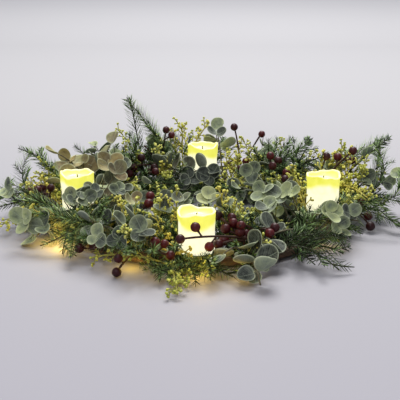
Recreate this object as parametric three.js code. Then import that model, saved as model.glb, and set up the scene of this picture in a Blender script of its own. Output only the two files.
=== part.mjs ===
// An advent wreath lying on a table: a ring of twisted vine carries four wax candles
// lit from inside, and sprays of fir, eucalyptus, berries and fine yellow-green sprigs.
// Millimetres, +Z up. Angles run counter-clockwise from +X, so the front candle is at 270 degrees.
import * as THREE from "three";

// Driving dimensions of the ring
const RING_RADIUS = 178;
const RING_HALF_WIDTH = 14;
const RING_HALF_HEIGHT = 10;
const RING_STRANDS = 3;
const RING_TWISTS = 5;
const RING_LOBE = 0.1;
const RING_SIDES = 9;
const RING_STEPS = 36;
const RING_FLAT = 1.8;

// Driving dimensions of the candles and of what they stand in
const CANDLE_RADIUS = 25;
const CANDLE_HEIGHT = 56;
const CANDLE_SIDES = 16;
const CANDLE_ANGLES = { right: 0, back: 90, left: 180, front: 270 };
const DRIP_DEPTH = 1.6;
const RIM_WAVE = 2.2;
const RIM_WIDTH = 3;
const POOL_DEPTH = 8;
const POOL_RADIUS = 17;
const CAVITY_RADIUS = 18.6;
const CAVITY_HEIGHT = 36;
const CUP_RADIUS = 29;
const CUP_SIDES = 12;
const CUP_LIP = 8;
const CUP_WALL = 1.2;
const CUP_FLOOR = 2;
const LIGHT_RADIUS = 18;
const LIGHT_HEIGHT = 26;
const LED_RADIUS = 2.5;
const WICK_RADIUS = 1.1;
const WICK_HEIGHT = 6;
const SEAT_GAP = 0.3;
const WICK_FOOT = CANDLE_HEIGHT - POOL_DEPTH - 0.7;

// Driving dimensions of the foliage
const NEEDLE_LENGTH = 12;
const NEEDLE_PITCH = 16;
const NEEDLE_LEAN = 42;
const TWIG_RADIUS = 1.1;
const STEM_RADIUS = 1.4;
const LEAF_RADIUS = 14;
const LEAF_RIM = 6;
const LEAF_PITCH = 26;
const LEAF_THICKNESS = 0.8;
const LEAF_DISH = 0.22;
const BERRY_RADIUS = 6;
const BERRY_ROWS = [52, 112];
const BUD_RADIUS = 1.9;
const STEM_PITCH = 26;
const NODE_LENGTH = 4;
const FORK_REACH = 18;
const TWIG_REACH = 7;
const PETIOLE = 2.5;
const FIR_TWIG_PITCH = 38;
const SPRIG_TWIG_PITCH = 28;
const FORKS = [0, 0.16, 0.3, 0.42];
const FIRST_SHOOT = 10;
const SHOOT_FORKS = [0.09, 0.23];
const SHOOT_TURNS = { fir: [-20, 20], eucalyptus: [18], berries: [], sprig: [-17, 17] };
const SHOOT_SWAY = 26;
const SHOOT_RISE = 42;
const HOLE_HALF = 58;
const CLEARANCE = 0.7;

const RAD = Math.PI / 180;
const UP = new THREE.Vector3(0, 0, 1);

// Each spray: its name, of which the first word is its kind; where it is seated on the ring
// (degrees, and degrees round the ring's section from its outer side); how high its stems
// arch; its size; and the tips that its branches reach (degrees, distance, height).
const SPRAYS = [
  ["eucalyptus_front", [289, 30], 26, 1, [[287, 268, 7], [279, 224, 34]]],
  ["eucalyptus_right_front", [340, 60], 12, 1, [[333, 212, 28], [351, 228, 16]]],
  ["eucalyptus_inner_right", [328, 130], 14, 0.95, [[346, 106, 52], [356, 134, 56]]],
  ["eucalyptus_right_back", [29, 40], 16, 0.9, [[10, 284, 62], [20, 258, 78]]],
  ["eucalyptus_inner_back", [104, 150], 16, 0.9, [[86, 122, 46], [98, 114, 36]]],
  ["eucalyptus_back", [79, 20], 22, 0.9, [[84, 224, 88], [92, 262, 20]]],
  ["eucalyptus_back_left", [154, 55], 14, 1, [[161, 230, 83], [138, 194, 86], [138, 258, 16]]],
  ["eucalyptus_inner_left", [158, 130], 14, 0.9, [[150, 146, 62], [170, 122, 45], [188, 106, 34]]],
  ["eucalyptus_left", [200, 71], 19, 0.85, [[194, 168, 60], [189, 270, 14], [204, 241, 12]]],
  ["eucalyptus_front_left", [232, 80], 16, 1, [[247, 176, 54], [239, 204, 32], [221, 190, 32]]],

  ["berries_front_right", [296, 90], 16, 1, [[288, 172, 54], [266, 226, 56], [297, 196, 48]]],
  ["berries_right", [17, 80], 12, 1, [[12, 188, 86], [15, 230, 90], [352, 242, 12]]],
  ["berries_inner_right", [46, 120], 10, 1, [[35, 128, 80], [15, 128, 58], [60, 136, 50]]],
  ["berries_back_right", [72, 50], 12, 1, [[76, 220, 90], [64, 210, 87], [80, 246, 26]]],
  ["berries_back_left", [108, 60], 8, 1, [[124, 164, 82], [109, 186, 92], [141, 140, 60]]],
  ["berries_left", [188, 40], 14, 1, [[181, 244, 46], [188, 226, 54]]],
  ["berries_front_left", [246, 30], 10, 1, [[227, 209, 18], [246, 234, 10], [260, 214, 28]]],

  ["sprig_front_right", [285, 140], 10, 1, [[292, 108, 62], [301, 124, 40]]],
  ["sprig_inner_right", [344, 140], 10, 1, [[353, 138, 72], [5, 136, 60]]],
  ["sprig_right", [10, 30], 14, 1, [[24, 240, 92], [9, 248, 70], [355, 242, 44]]],
  ["sprig_back_right", [74, 130], 12, 1, [[68, 150, 66], [62, 168, 58]]],
  ["sprig_back", [102, 20], 16, 1, [[99, 226, 98], [88, 232, 98]]],
  ["sprig_left", [171, 30], 14, 1, [[166, 240, 64], [174, 266, 48], [192, 286, 9]]],
  ["sprig_front_left", [251, 130], 12, 1, [[244, 98, 72], [267, 100, 64]]],
  ["sprig_front_low", [260, 8], 10, 1, [[266, 288, 9], [264, 246, 5], [234, 229, 7]]],

  ["fir_front_right", [300, 40], 20, 1, [[317, 256, 18], [336, 194, 38], [311, 272, 7], [326, 238, 24]]],
  ["fir_right", [23, 20], 12, 1, [[15, 284, 106], [1, 298, 30], [350, 286, 12]]],
  ["fir_back_right", [60, 30], 18, 1, [[50, 280, 70], [56, 270, 80], [67, 270, 14], [40, 268, 34]]],
  ["fir_inner_back_right", [38, 90], 12, 1, [[32, 192, 88], [25, 180, 76], [52, 108, 36]]],
  ["fir_back_left_tall", [115, 40], 4, 1, [[122, 224, 150], [121, 238, 92], [108, 266, 18]]],
  ["fir_back_left", [136, 30], 14, 1, [[129, 222, 78], [152, 282, 62], [128, 274, 16]]],
  ["fir_inner_back_left", [128, 140], 10, 1, [[128, 104, 34], [112, 114, 34]]],
  ["fir_left", [164, 20], 8, 1, [[162, 284, 88], [174, 298, 28], [156, 284, 20]]],
  ["fir_front_left", [212, 80], 22, 1, [[187, 260, 36], [221, 234, 6], [216, 106, 38]]],
  ["fir_front_low", [273, 0], 8, 1, [[281, 238, 8], [262, 240, 7]]],
  ["fir_low_right", [324, 10], 6, 1, [[303, 212, 12], [345, 208, 20]]],
  ["fir_low_left", [232, 10], 10, 1, [[243, 210, 21], [210, 212, 14]]],
  ["fir_inner_right", [313, 130], 10, 1, [[318, 104, 36], [299, 116, 30], [334, 108, 30]]],
].map(([name, seat, arch, size, tips]) => ({ name, kind: name.split("_")[0], seat, arch, size, tips }));

// Small helpers
const polar = (angle, radius, height) =>
  new THREE.Vector3(radius * Math.cos(angle * RAD), radius * Math.sin(angle * RAD), height);

const mixed = (a, b, part) => a.clone().lerp(b, part);

function noise(a, b) {
  const n = Math.sin(a * 12.9898 + b * 78.233) * 43758.5453;
  return n - Math.floor(n);
}

// The two directions across a stem that runs along `along`: level to its side, and upwards.
function across(along) {
  const side = new THREE.Vector3().crossVectors(UP, along);
  if (side.lengthSq() < 1e-6) side.set(1, 0, 0);
  side.normalize();
  return [side, new THREE.Vector3().crossVectors(along, side).normalize()];
}

// A direction that leans away from `along` by `lean` degrees, turned round it by `roll` degrees.
function leaning(along, lean, roll) {
  const [side, up] = across(along);
  return along.clone().multiplyScalar(Math.cos(lean * RAD))
    .addScaledVector(side, Math.sin(lean * RAD) * Math.cos(roll * RAD))
    .addScaledVector(up, Math.sin(lean * RAD) * Math.sin(roll * RAD));
}

function geometryOf(points, faces) {
  const geometry = new THREE.BufferGeometry();
  const numbers = points.flatMap((p) => p.toArray());
  geometry.setAttribute("position", new THREE.Float32BufferAttribute(numbers, 3));
  geometry.setIndex(faces.flat());
  return geometry;
}

// A body turned about Z from rows of radius and height, of which the first and last lie on the axis.
function turnedGeometry(rows, sides) {
  const points = [];
  const faces = [];
  rows.slice(1, -1).forEach((row) => {
    for (let i = 0; i < sides; i++) {
      const angle = (2 * Math.PI * i) / sides;
      const [radius, height] = row(angle);
      points.push(new THREE.Vector3(radius * Math.cos(angle), radius * Math.sin(angle), height));
    }
  });
  const first = points.push(new THREE.Vector3(0, 0, rows[0](0)[1])) - 1;
  const last = points.push(new THREE.Vector3(0, 0, rows[rows.length - 1](0)[1])) - 1;
  const end = (rows.length - 3) * sides;
  for (let i = 0; i < sides; i++) {
    const next = (i + 1) % sides;
    faces.push([first, next, i], [last, end + i, end + next]);
    for (let start = 0; start < end; start += sides)
      faces.push([start + i, start + next, start + sides + i],
        [start + next, start + sides + next, start + sides + i]);
  }
  return geometryOf(points, faces);
}

const flatRows = (profile) => profile.map((row) => () => row);

// Places already taken, as small balls in a grid, so that a piece can be bent clear of the others
const CELL = 10;
const taken = new Map();
const keyOf = (x, y, z) => `${Math.floor(x / CELL)},${Math.floor(y / CELL)},${Math.floor(z / CELL)}`;

function occupy(owner, kind, balls) {
  for (const { p, r } of balls) {
    const key = keyOf(p.x, p.y, p.z);
    if (!taken.has(key)) taken.set(key, []);
    taken.get(key).push({ p, r, owner, kind });
  }
}

// Pieces of one spray are one body, so they are kept apart only from the kinds that are named.
function meetsAnother(owner, p, r, ownKinds) {
  for (let dx = -CELL; dx <= CELL; dx += CELL)
    for (let dy = -CELL; dy <= CELL; dy += CELL)
      for (let dz = -CELL; dz <= CELL; dz += CELL)
        for (const other of taken.get(keyOf(p.x + dx, p.y + dy, p.z + dz)) ?? []) {
          if (other.owner === owner && !ownKinds.includes(other.kind)) continue;
          if (other.p.distanceTo(p) < other.r + r + (other.owner === owner ? 0 : CLEARANCE)) return true;
        }
  return false;
}

const candleAxes = Object.values(CANDLE_ANGLES).map((angle) => polar(angle, RING_RADIUS, 0));
const RING_MIDDLE = RING_HALF_HEIGHT - RING_FLAT;
const CUP_BASE = 2 * RING_MIDDLE + SEAT_GAP;
const CANDLE_TOP = CUP_BASE + CUP_FLOOR + SEAT_GAP + CANDLE_HEIGHT + RIM_WAVE;

// Whether a ball would touch a candle or its cup, the ring, the surface below, or the free hole.
function meetsFixed(p, r, nearSeat = false) {
  if (p.z - r < SEAT_GAP) return true;
  if (Math.abs(p.x) < HOLE_HALF + r && Math.abs(p.y) < HOLE_HALF + r) return true;
  for (const axis of candleAxes) {
    if (p.z > CANDLE_TOP + r || p.z < CUP_BASE - r - CLEARANCE) continue;
    if (Math.hypot(p.x - axis.x, p.y - axis.y) < CUP_RADIUS + r + CLEARANCE) return true;
  }
  if (nearSeat) return false;
  const away = (Math.hypot(p.x, p.y) - RING_RADIUS) / (RING_HALF_WIDTH * (1 + RING_LOBE) + r + CLEARANCE);
  const above = (p.z - RING_MIDDLE) / (RING_HALF_HEIGHT * (1 + RING_LOBE) + r + CLEARANCE);
  return away * away + above * above < 1;
}

const isClear = (owner, balls, ownKinds = []) =>
  balls.every(({ p, r, nearSeat }) => !meetsFixed(p, r, nearSeat) && !meetsAnother(owner, p, r, ownKinds));

// The vine ring: a closed tube of three lobes that twist round it, flat below and under the cups
function ringVertex(step, side) {
  const round = (2 * Math.PI * step) / RING_STEPS;
  const turn = (2 * Math.PI * side) / RING_SIDES + RING_TWISTS * round;
  const lobe = 1 + RING_LOBE * Math.cos((2 * Math.PI * side * RING_STRANDS) / RING_SIDES);
  const radius = RING_RADIUS + RING_HALF_WIDTH * lobe * Math.cos(turn);
  const height = RING_MIDDLE + RING_HALF_HEIGHT * lobe * Math.sin(turn);
  const flattened = THREE.MathUtils.clamp(height, 0, 2 * RING_MIDDLE);
  return new THREE.Vector3(radius * Math.cos(round), radius * Math.sin(round), flattened);
}

const ringPoints = Array.from({ length: RING_STEPS * RING_SIDES }, (_, i) =>
  ringVertex(Math.floor(i / RING_SIDES), i % RING_SIDES));

function ringGeometry() {
  const faces = [];
  const index = (step, side) => (step % RING_STEPS) * RING_SIDES + (side % RING_SIDES);
  for (let step = 0; step < RING_STEPS; step++)
    for (let side = 0; side < RING_SIDES; side++) {
      const [a, b] = [index(step, side), index(step, side + 1)];
      const [c, d] = [index(step + 1, side), index(step + 1, side + 1)];
      faces.push([a, c, b], [b, c, d]);
    }
  return geometryOf(ringPoints, faces);
}

// The ring vertex nearest to a seat, with the direction out of the ring there.
function seatOn(angle, section) {
  const wanted = polar(angle, RING_RADIUS + RING_HALF_WIDTH * Math.cos(section * RAD),
    RING_MIDDLE + RING_HALF_HEIGHT * Math.sin(section * RAD));
  const point = ringPoints.reduce((a, b) => (b.distanceTo(wanted) < a.distanceTo(wanted) ? b : a));
  const out = point.clone().sub(polar(Math.atan2(point.y, point.x) / RAD, RING_RADIUS, RING_MIDDLE));
  out.z *= (RING_HALF_WIDTH / RING_HALF_HEIGHT) ** 2;
  return { point, out: out.normalize() };
}

// Placing: stems first, then leaves and berries, then side twigs, and needles last of all
const alongCurve = (curve, from, to, count) =>
  Array.from({ length: count + 1 }, (_, i) => curve.getPoint(from + ((to - from) * i) / count));

function stemBalls(curve, radius, from = 0, to = 1, seated = false) {
  const count = Math.max(2, Math.ceil((curve.getLength() * (to - from)) / 3));
  return alongCurve(curve, from, to, count).map((p, i) =>
    ({ p, r: radius + 1, nearSeat: seated && i * 3 < 9 }));
}

// Ways to bend a branch that meets another one: middle up, middle sideways, tip up, tip sideways.
const BENDS = [[0, 0, 0, 0]];
for (const reach of [6, 12, 18])
  BENDS.push([reach, 0, 0, 0], [0, reach, 0, 0], [0, -reach, 0, 0], [reach, 0, reach / 2, 0],
    [0, reach, 0, reach], [0, -reach, 0, -reach], [reach, reach, reach / 2, reach],
    [reach, -reach, reach / 2, -reach], [-reach / 2, 0, -reach / 3, 0]);

function branchCurve(start, tip, arch, [lift, sway, rise, shift]) {
  const end = tip.clone();
  const [side] = across(tip.clone().sub(start).normalize());
  end.addScaledVector(side, shift).addScaledVector(UP, rise);
  const middle = mixed(start, end, 0.5).addScaledVector(UP, arch + lift).addScaledVector(side, sway);
  return new THREE.QuadraticBezierCurve3(start, middle, end);
}

const stemOn = (curve, radius, tipRadius) => ({ kind: "stem", curve, radius, tipRadius, children: [] });

// A branch of a spray: the first one rises from its seat, the others fork from it.
function placeBranch(spray, place, fork, number) {
  const seat = seatOn(...spray.seat);
  const tip = polar(...place);
  const make = (bend) => {
    if (fork > 0) return branchCurve(spray.branches[0].curve.getPoint(fork), tip, spray.arch * 0.6, bend);
    const away = mixed(seat.point, tip, 0.5).addScaledVector(UP, spray.arch).sub(seat.point).normalize();
    const slant = Math.sqrt(Math.max(0, 1 - away.dot(seat.out) ** 2));
    const start = seat.point.clone().addScaledVector(seat.out, SEAT_GAP + STEM_RADIUS * slant);
    return branchCurve(start, tip, spray.arch, bend);
  };
  const own = fork > 0 ? ["stem"] : [];
  const test = (curve) => isClear(spray.name, stemBalls(curve, STEM_RADIUS, 0, 1, fork === 0)) &&
    isClear(spray.name, stemBalls(curve, STEM_RADIUS, Math.min(0.5, 16 / curve.getLength())), own);
  const ways = BENDS.map(make);
  const free = ways.findIndex(test);
  spray.bent = (spray.bent ?? []).concat(free);
  if (free < 0 && fork > 0) return;
  const stem = stemOn(ways[Math.max(0, free)], STEM_RADIUS, spray.kind === "fir" ? 0.8 : 1);
  Object.assign(stem, { number, ringwards: seat.out.clone().negate() });
  if (fork > 0) spray.branches[0].children.push({ part: fork, ...stem, stem });
  spray.branches.push(stem);
  occupy(spray.name, "stem", stemBalls(stem.curve, STEM_RADIUS));
}

function placeStems(spray) {
  spray.branches = [];
  spray.tips.forEach((place, i) => placeBranch(spray, place, FORKS[i], i));
}

// The low side shoots of a spray, which cover the ring on either side of its seat.
function placeShoots(spray, seed) {
  SHOOT_TURNS[spray.kind].forEach((turn, i) => {
    const angle = spray.seat[0] + turn * (0.75 + 0.5 * noise(seed, i));
    const radius = RING_RADIUS + SHOOT_SWAY * (2 * noise(i + 1, seed) - 1);
    const place = [angle, radius, SHOOT_RISE * (0.6 + 0.8 * noise(seed + i, 3))];
    placeBranch(spray, place, SHOOT_FORKS[i], FIRST_SHOOT + i);
  });
}

function leafBalls({ root, out, face, radius }) {
  const side = new THREE.Vector3().crossVectors(face, out);
  const balls = [];
  for (const [part, count] of [[0.15, 3], [0.42, 7], [0.68, 11], [0.93, 15]])
    for (let i = 0; i < count; i++) {
      const angle = (2 * Math.PI * (i + 0.5)) / count;
      balls.push({
        p: root.clone().addScaledVector(out, PETIOLE + radius * (1 - part * Math.cos(angle)))
          .addScaledVector(side, radius * part * Math.sin(angle))
          .addScaledVector(face, -LEAF_DISH * radius * (1 - part)),
        r: 1.9,
      });
    }
  return balls;
}

// Leaves stand in pairs along a branch and one closes its tip. A leaf that would meet
// something is turned, then made smaller, and else left out.
function placeLeaves(spray, seed) {
  spray.branches.forEach((stem) => {
    const b = stem.number;
    const count = Math.max(1, Math.min(3, Math.round(stem.curve.getLength() / LEAF_PITCH)));
    for (let k = 0; k <= 2 * count; k++) {
      const pair = Math.ceil(k / 2);
      const part = 1 - (0.7 * pair) / (count + 0.3);
      const root = stem.curve.getPoint(part);
      const along = stem.curve.getTangent(part);
      const radius = LEAF_RADIUS * spray.size * (0.74 + 0.3 * noise(seed + b, k) + 0.14 * (pair / count));
      for (let i = 0; i < 14; i++) {
        const roll = (k % 2 ? 120 : 0) + 180 * (pair % 2) + 60 * noise(seed + pair, b)
          + [0, 120, 240, 60, 180, 300, 30][i % 7];
        const out = leaning(along, k === 0 ? 12 + i : 74 + 14 * noise(k, seed), roll);
        const [side, up] = across(out);
        const tilt = (noise(seed * 3 + b, k * 5) - 0.5) * 110 * RAD;
        const face = up.multiplyScalar(Math.cos(tilt)).addScaledVector(side, Math.sin(tilt));
        const leaf = { kind: "leaf", part, root, out, face, radius: radius * (i < 7 ? 1 : 0.7) };
        const balls = leafBalls(leaf);
        const outer = balls.filter(({ p }) => p.distanceTo(root) > 7);
        if (!isClear(spray.name, balls, ["leaf"]) || !isClear(spray.name, outer, ["stem"])) continue;
        occupy(spray.name, "leaf", balls);
        stem.children.push(leaf);
        break;
      }
    }
  });
}

// Berries sit on stalks at each tip and beside it.
function placeBerries(spray, seed) {
  spray.branches.forEach((stem) => {
    const b = stem.number;
    const spots = stem.curve.getLength() > 40 ? [[1, 5], [0.8, 15], [0.62, 16]] : [[1, 5], [0.7, 14]];
    spots.forEach(([part, reach], k) => {
      const root = stem.curve.getPoint(part);
      const along = stem.curve.getTangent(part);
      for (let i = 0; i < 9; i++) {
        const out = leaning(along, k === 0 ? i * 9 : 55, 360 * noise(seed + b, part * 7) + 40 * i);
        const radius = BERRY_RADIUS * spray.size * (0.86 + 0.2 * noise(b, seed + part));
        const middle = root.clone().addScaledVector(out, (k === 0 ? reach + 2 : reach) * (i > 5 ? 0.8 : 1));
        const ownKinds = k === 0 ? ["berry"] : ["berry", "stem"];
        if (!isClear(spray.name, [{ p: middle, r: radius }], ownKinds)) continue;
        occupy(spray.name, "berry", [{ p: middle, r: radius }]);
        occupy(spray.name, "stalk", [0.3, 0.7].map((t) => ({ p: mixed(root, middle, t), r: 1.4 })));
        stem.children.push({ kind: "berry", part, root, out, middle, radius });
        break;
      }
    });
  });
}

// Side twigs of a fir spray or of a sprig.
function placeTwigs(spray, seed) {
  const fir = spray.kind === "fir";
  spray.twigs = [];
  spray.branches.forEach((stem) => {
    const b = stem.number;
    const length = stem.curve.getLength();
    const most = b >= FIRST_SHOOT ? 1 : fir ? 3 : 4;
    const count = Math.min(most, Math.round(length / (fir ? FIR_TWIG_PITCH : SPRIG_TWIG_PITCH)));
    for (let k = 0; k < count; k++) {
      const part = 0.88 - (0.6 * (k + 0.3 * noise(seed + b, k))) / Math.max(1, count);
      const root = stem.curve.getPoint(part);
      const along = stem.curve.getTangent(part);
      const reach = (fir ? 36 : 22) * spray.size * (0.75 + 0.5 * noise(b + 3, seed + k));
      for (let i = 0; i < 8; i++) {
        const roll = (k % 2 ? 180 : 0) + 60 * (noise(seed + k, b) - 0.3) + 45 * i;
        const out = leaning(along, fir ? 44 : 38, roll);
        const tip = root.clone().addScaledVector(out, reach * (i > 3 ? 0.75 : 1));
        const middle = mixed(root, tip, 0.5).addScaledVector(along, reach * 0.08);
        const curve = new THREE.QuadraticBezierCurve3(root, middle, tip);
        const balls = stemBalls(curve, fir ? TWIG_RADIUS : BUD_RADIUS);
        if (!isClear(spray.name, balls, ["twig"])) continue;
        if (!isClear(spray.name, balls.filter(({ p }) => p.distanceTo(root) > 8), ["stem"])) continue;
        occupy(spray.name, "twig", balls);
        const twig = stemOn(curve, fir ? TWIG_RADIUS : 0.8, fir ? 0.7 : 0.6);
        twig.bud = !fir;
        spray.twigs.push(twig);
        stem.children.push({ part, ...twig, stem: twig, out });
        break;
      }
    }
  });
}

// Growing: a spray is one body of three-sided stems. Whatever grows from a stem
// takes the place of one of its triangles, so a root is always closed.
const addPoint = (body, p) => body.points.push(p) - 1;

function addFaces(body, piece, ...faces) {
  for (const face of faces) {
    body.faces.push(face);
    body.pieces.push(piece);
  }
}

const middleOf = (body, corners) =>
  corners.reduce((sum, k) => sum.add(body.points[k]), new THREE.Vector3()).divideScalar(corners.length);

function normalOf(body, [a, b, c]) {
  const [p, q, r] = [body.points[a], body.points[b], body.points[c]];
  return q.clone().sub(p).cross(r.clone().sub(p)).normalize();
}

// A ring of `count` corners round `centre`, the first one towards `first`.
function addRing(body, centre, along, first, radius, count = 3) {
  const one = first.clone().addScaledVector(along, -first.dot(along)).normalize();
  const two = new THREE.Vector3().crossVectors(along, one);
  return Array.from({ length: count }, (_, k) => {
    const angle = (2 * Math.PI * k) / count;
    return addPoint(body, centre.clone().addScaledVector(one, Math.cos(angle) * radius)
      .addScaledVector(two, Math.sin(angle) * radius));
  });
}

// The direction across `along` from which a face's corners are turned least by 0, 120 and 240 degrees.
function firstSide(body, corners, along) {
  const middle = middleOf(body, corners);
  const spokes = corners.map((k) => body.points[k].clone().sub(middle));
  spokes.forEach((spoke) => spoke.addScaledVector(along, -spoke.dot(along)).normalize());
  const turnedBack = spokes.map((spoke, k) => spoke.applyAxisAngle(along, (-2 * Math.PI * k) / 3));
  return turnedBack.reduce((sum, spoke) => sum.add(spoke), new THREE.Vector3()).normalize();
}

// The corner direction nearest to `first` that turns one side of a stem towards `out`.
function turnedTo(out, along, first) {
  const level = out.clone().addScaledVector(along, -out.dot(along)).normalize();
  return [60, 180, 300].map((angle) => level.clone().applyAxisAngle(along, angle * RAD))
    .reduce((a, b) => (b.dot(first) > a.dot(first) ? b : a));
}

// Where the rings of a stem stand: either side of each node, with the pitch in between.
function stopsOf(stem, rooted) {
  const length = stem.curve.getLength();
  const half = NODE_LENGTH / 2 / length;
  const stops = [{ part: rooted ? Math.min(0.4, stem.rootReach / length) : 0, children: [] }];
  const fill = (to) => {
    const from = stops[stops.length - 1].part;
    const count = Math.max(1, Math.round(((to - from) * length) / stem.pitch));
    for (let i = 1; i <= count; i++) stops.push({ part: from + ((to - from) * i) / count, children: [] });
  };
  const side = stem.children.filter(({ part }) => part < 1).sort((a, b) => a.part - b.part);
  for (const child of side) {
    const last = stops[stops.length - 1];
    if (last.children.length && child.part - half < last.part) {
      last.children.push(child);
      continue;
    }
    if (child.part - half > last.part + half) fill(child.part - half);
    stops.push({ part: Math.max(child.part, stops[stops.length - 1].part) + half, children: [child] });
  }
  if (stem.bud) return [...stops, { part: 0.68, children: [], wide: BUD_RADIUS }, { part: 1, children: [] }];
  if (1 - stops[stops.length - 1].part > half / 2) fill(1);
  return stops;
}

function growStem(body, stem, root = null) {
  const stops = stopsOf(stem, root);
  const { curve } = stem;
  let ring = root;
  if (!root) {
    const along = curve.getTangent(0);
    ring = addRing(body, curve.getPoint(0), along, stem.ringwards, stem.radius);
    addFaces(body, stem, [ring[0], ring[2], ring[1]]);
    stops.shift();
  }
  stops.forEach((stop, i) => {
    const along = curve.getTangent(stop.part);
    const centre = curve.getPoint(stop.part);
    let first = firstSide(body, ring, along);
    const ahead = stops[i + 1]?.children[0];
    if (ahead && !stop.children.length && !(root && i === 0)) {
      first = turnedTo(ahead.out ?? ahead.curve.getTangent(0.2), along, first);
    }
    const radius = stop.wide ?? stem.radius + (stem.tipRadius - stem.radius) * stop.part;
    const next = addRing(body, centre, along, first, radius);
    const faces = [0, 1, 2].flatMap((k) => {
      const turned = (k + 1) % 3;
      return [[ring[k], ring[turned], next[k]], [ring[turned], next[turned], next[k]]];
    });
    const free = new Set(faces);
    for (const child of stop.children) {
      const wanted = child.out ?? child.curve.getTangent(0.2);
      const face = [...free].reduce((a, b) =>
        (normalOf(body, b).dot(wanted) > normalOf(body, a).dot(wanted) ? b : a));
      free.delete(face);
      grow(body, child, face);
    }
    faces.forEach((face, slot) => {
      if (!free.has(face)) return;
      const bare = !stem.needles || stop.children.length || stop.part * curve.getLength() <= stem.bare;
      if (bare || slot % 2 !== i % 2) addFaces(body, stem, face);
      else growNeedle(body, stem, face, along, `${i}.${slot}`);
    });
    ring = next;
  });
  const closing = stem.children.find(({ part }) => part === 1);
  if (closing) grow(body, closing, ring);
  else addFaces(body, stem, ring);
}

const GROWERS = {
  stem: (body, child, face) => growStem(body, child.stem, face),
  leaf: growLeaf,
  berry: growBerry,
};

function grow(body, child, face) {
  if (body.dropped.has(child.stem ?? child)) addFaces(body, null, face);
  else GROWERS[child.kind](body, child, face);
}

// A needle drawn out of a face, which stays plain where the needle would meet something.
function growNeedle(body, stem, face, along, key) {
  if (!stem.needleTips.has(key)) stem.needleTips.set(key, needleTip(body, stem, face, along));
  const needle = stem.needleTips.get(key);
  if (!needle || body.dropped.has(needle)) {
    addFaces(body, stem, face);
    return;
  }
  const tip = addPoint(body, needle.apex);
  addFaces(body, needle, [face[0], face[1], tip], [face[1], face[2], tip], [face[2], face[0], tip]);
}

function needleTip(body, stem, face, along) {
  const root = middleOf(body, face);
  const lean = (NEEDLE_LEAN + 16 * noise(stem.seed, root.x)) * RAD;
  const outward = normalOf(body, face);
  outward.addScaledVector(along, -outward.dot(along)).normalize();
  const out = along.clone().multiplyScalar(Math.cos(lean)).addScaledVector(outward, Math.sin(lean));
  const reach = NEEDLE_LENGTH * (0.8 + 0.4 * noise(root.y, stem.seed));
  const balls = [0.2, 0.4, 0.6, 0.8, 1].map((part) =>
    ({ p: root.clone().addScaledVector(out, reach * part), r: 1 }));
  const edges = face.flatMap((k) => [0.3, 0.65].map((part) =>
    ({ p: mixed(body.points[k], balls[4].p, part), r: 0.6 })));
  if (!isClear(stem.owner, edges) || !isClear(stem.owner, balls, ["needle"])) return null;
  if (!isClear(stem.owner, balls.slice(1), [stem.twig ? "stem" : "twig"])) return null;
  if (!isClear(stem.owner, balls.slice(2), [stem.twig ? "twig" : "stem"])) return null;
  occupy(stem.owner, "needle", balls);
  occupy(stem.owner, "edge", edges);
  return { kind: "needle", apex: balls[4].p };
}

// A round cupped leaf of even thickness, its rim split alike above and below.
function growLeaf(body, leaf, corners) {
  const { out, face, radius } = leaf;
  const lowest = corners.reduce((a, b) => (body.points[b].dot(face) < body.points[a].dot(face) ? b : a));
  const at = corners.indexOf(lowest);
  const [a, b, c] = [corners[(at + 1) % 3], corners[(at + 2) % 3], lowest];
  const side = new THREE.Vector3().crossVectors(face, out);
  const middle = middleOf(body, corners).addScaledVector(out, radius + PETIOLE);
  const layer = (offset) => {
    const raised = middle.clone().addScaledVector(face, offset);
    const rim = Array.from({ length: LEAF_RIM }, (_, i) => {
      const angle = (2 * Math.PI * (i + 1)) / (LEAF_RIM + 1);
      return addPoint(body, raised.clone().addScaledVector(out, -Math.cos(angle) * radius)
        .addScaledVector(side, -Math.sin(angle) * radius));
    });
    return [rim, addPoint(body, raised.clone().addScaledVector(face, -LEAF_DISH * radius))];
  };
  const [top, crown] = layer(LEAF_THICKNESS / 2);
  const [low, heel] = layer(-LEAF_THICKNESS / 2);
  const end = LEAF_RIM - 1;
  addFaces(body, leaf, [a, b, crown], [b, top[0], crown], [top[end], a, crown]);
  addFaces(body, leaf, [low[0], c, heel], [c, low[end], heel]);
  addFaces(body, leaf, [top[0], b, c], [top[0], c, low[0]], [a, top[end], low[end]], [a, low[end], c]);
  for (let i = 0; i < end; i++) {
    addFaces(body, leaf, [top[i], top[i + 1], crown], [low[i + 1], low[i], heel]);
    addFaces(body, leaf, [top[i + 1], top[i], low[i]], [top[i + 1], low[i], low[i + 1]]);
  }
}

// A berry on its stalk: the stalk's three corners open out into rows of six.
function growBerry(body, berry, corners) {
  const { middle, radius } = berry;
  const out = middle.clone().sub(middleOf(body, corners)).normalize();
  const first = firstSide(body, corners, out);
  const neck = addRing(body, middle.clone().addScaledVector(out, -radius), out, first, 0.9);
  [0, 1, 2].forEach((k) => {
    const turned = (k + 1) % 3;
    addFaces(body, berry, [corners[k], corners[turned], neck[k]], [corners[turned], neck[turned], neck[k]]);
  });
  const rows = BERRY_ROWS.map((polarAngle) =>
    addRing(body, middle.clone().addScaledVector(out, -radius * Math.cos(polarAngle * RAD)), out,
      first, radius * Math.sin(polarAngle * RAD), 6));
  [0, 1, 2].forEach((k) => {
    const [b, c] = [rows[0][2 * k + 1], rows[0][(2 * k + 2) % 6]];
    const turned = (k + 1) % 3;
    addFaces(body, berry, [neck[k], neck[turned], b], [neck[k], b, rows[0][2 * k]], [neck[turned], c, b]);
  });
  const last = rows[rows.length - 1];
  const tip = addPoint(body, middle.clone().addScaledVector(out, radius));
  for (let k = 0; k < 6; k++) {
    const turned = (k + 1) % 6;
    for (let row = 1; row < rows.length; row++) {
      const [low, high] = [rows[row - 1], rows[row]];
      addFaces(body, berry, [low[k], low[turned], high[k]], [low[turned], high[turned], high[k]]);
    }
    addFaces(body, berry, [last[k], last[turned], tip]);
  }
}

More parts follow.
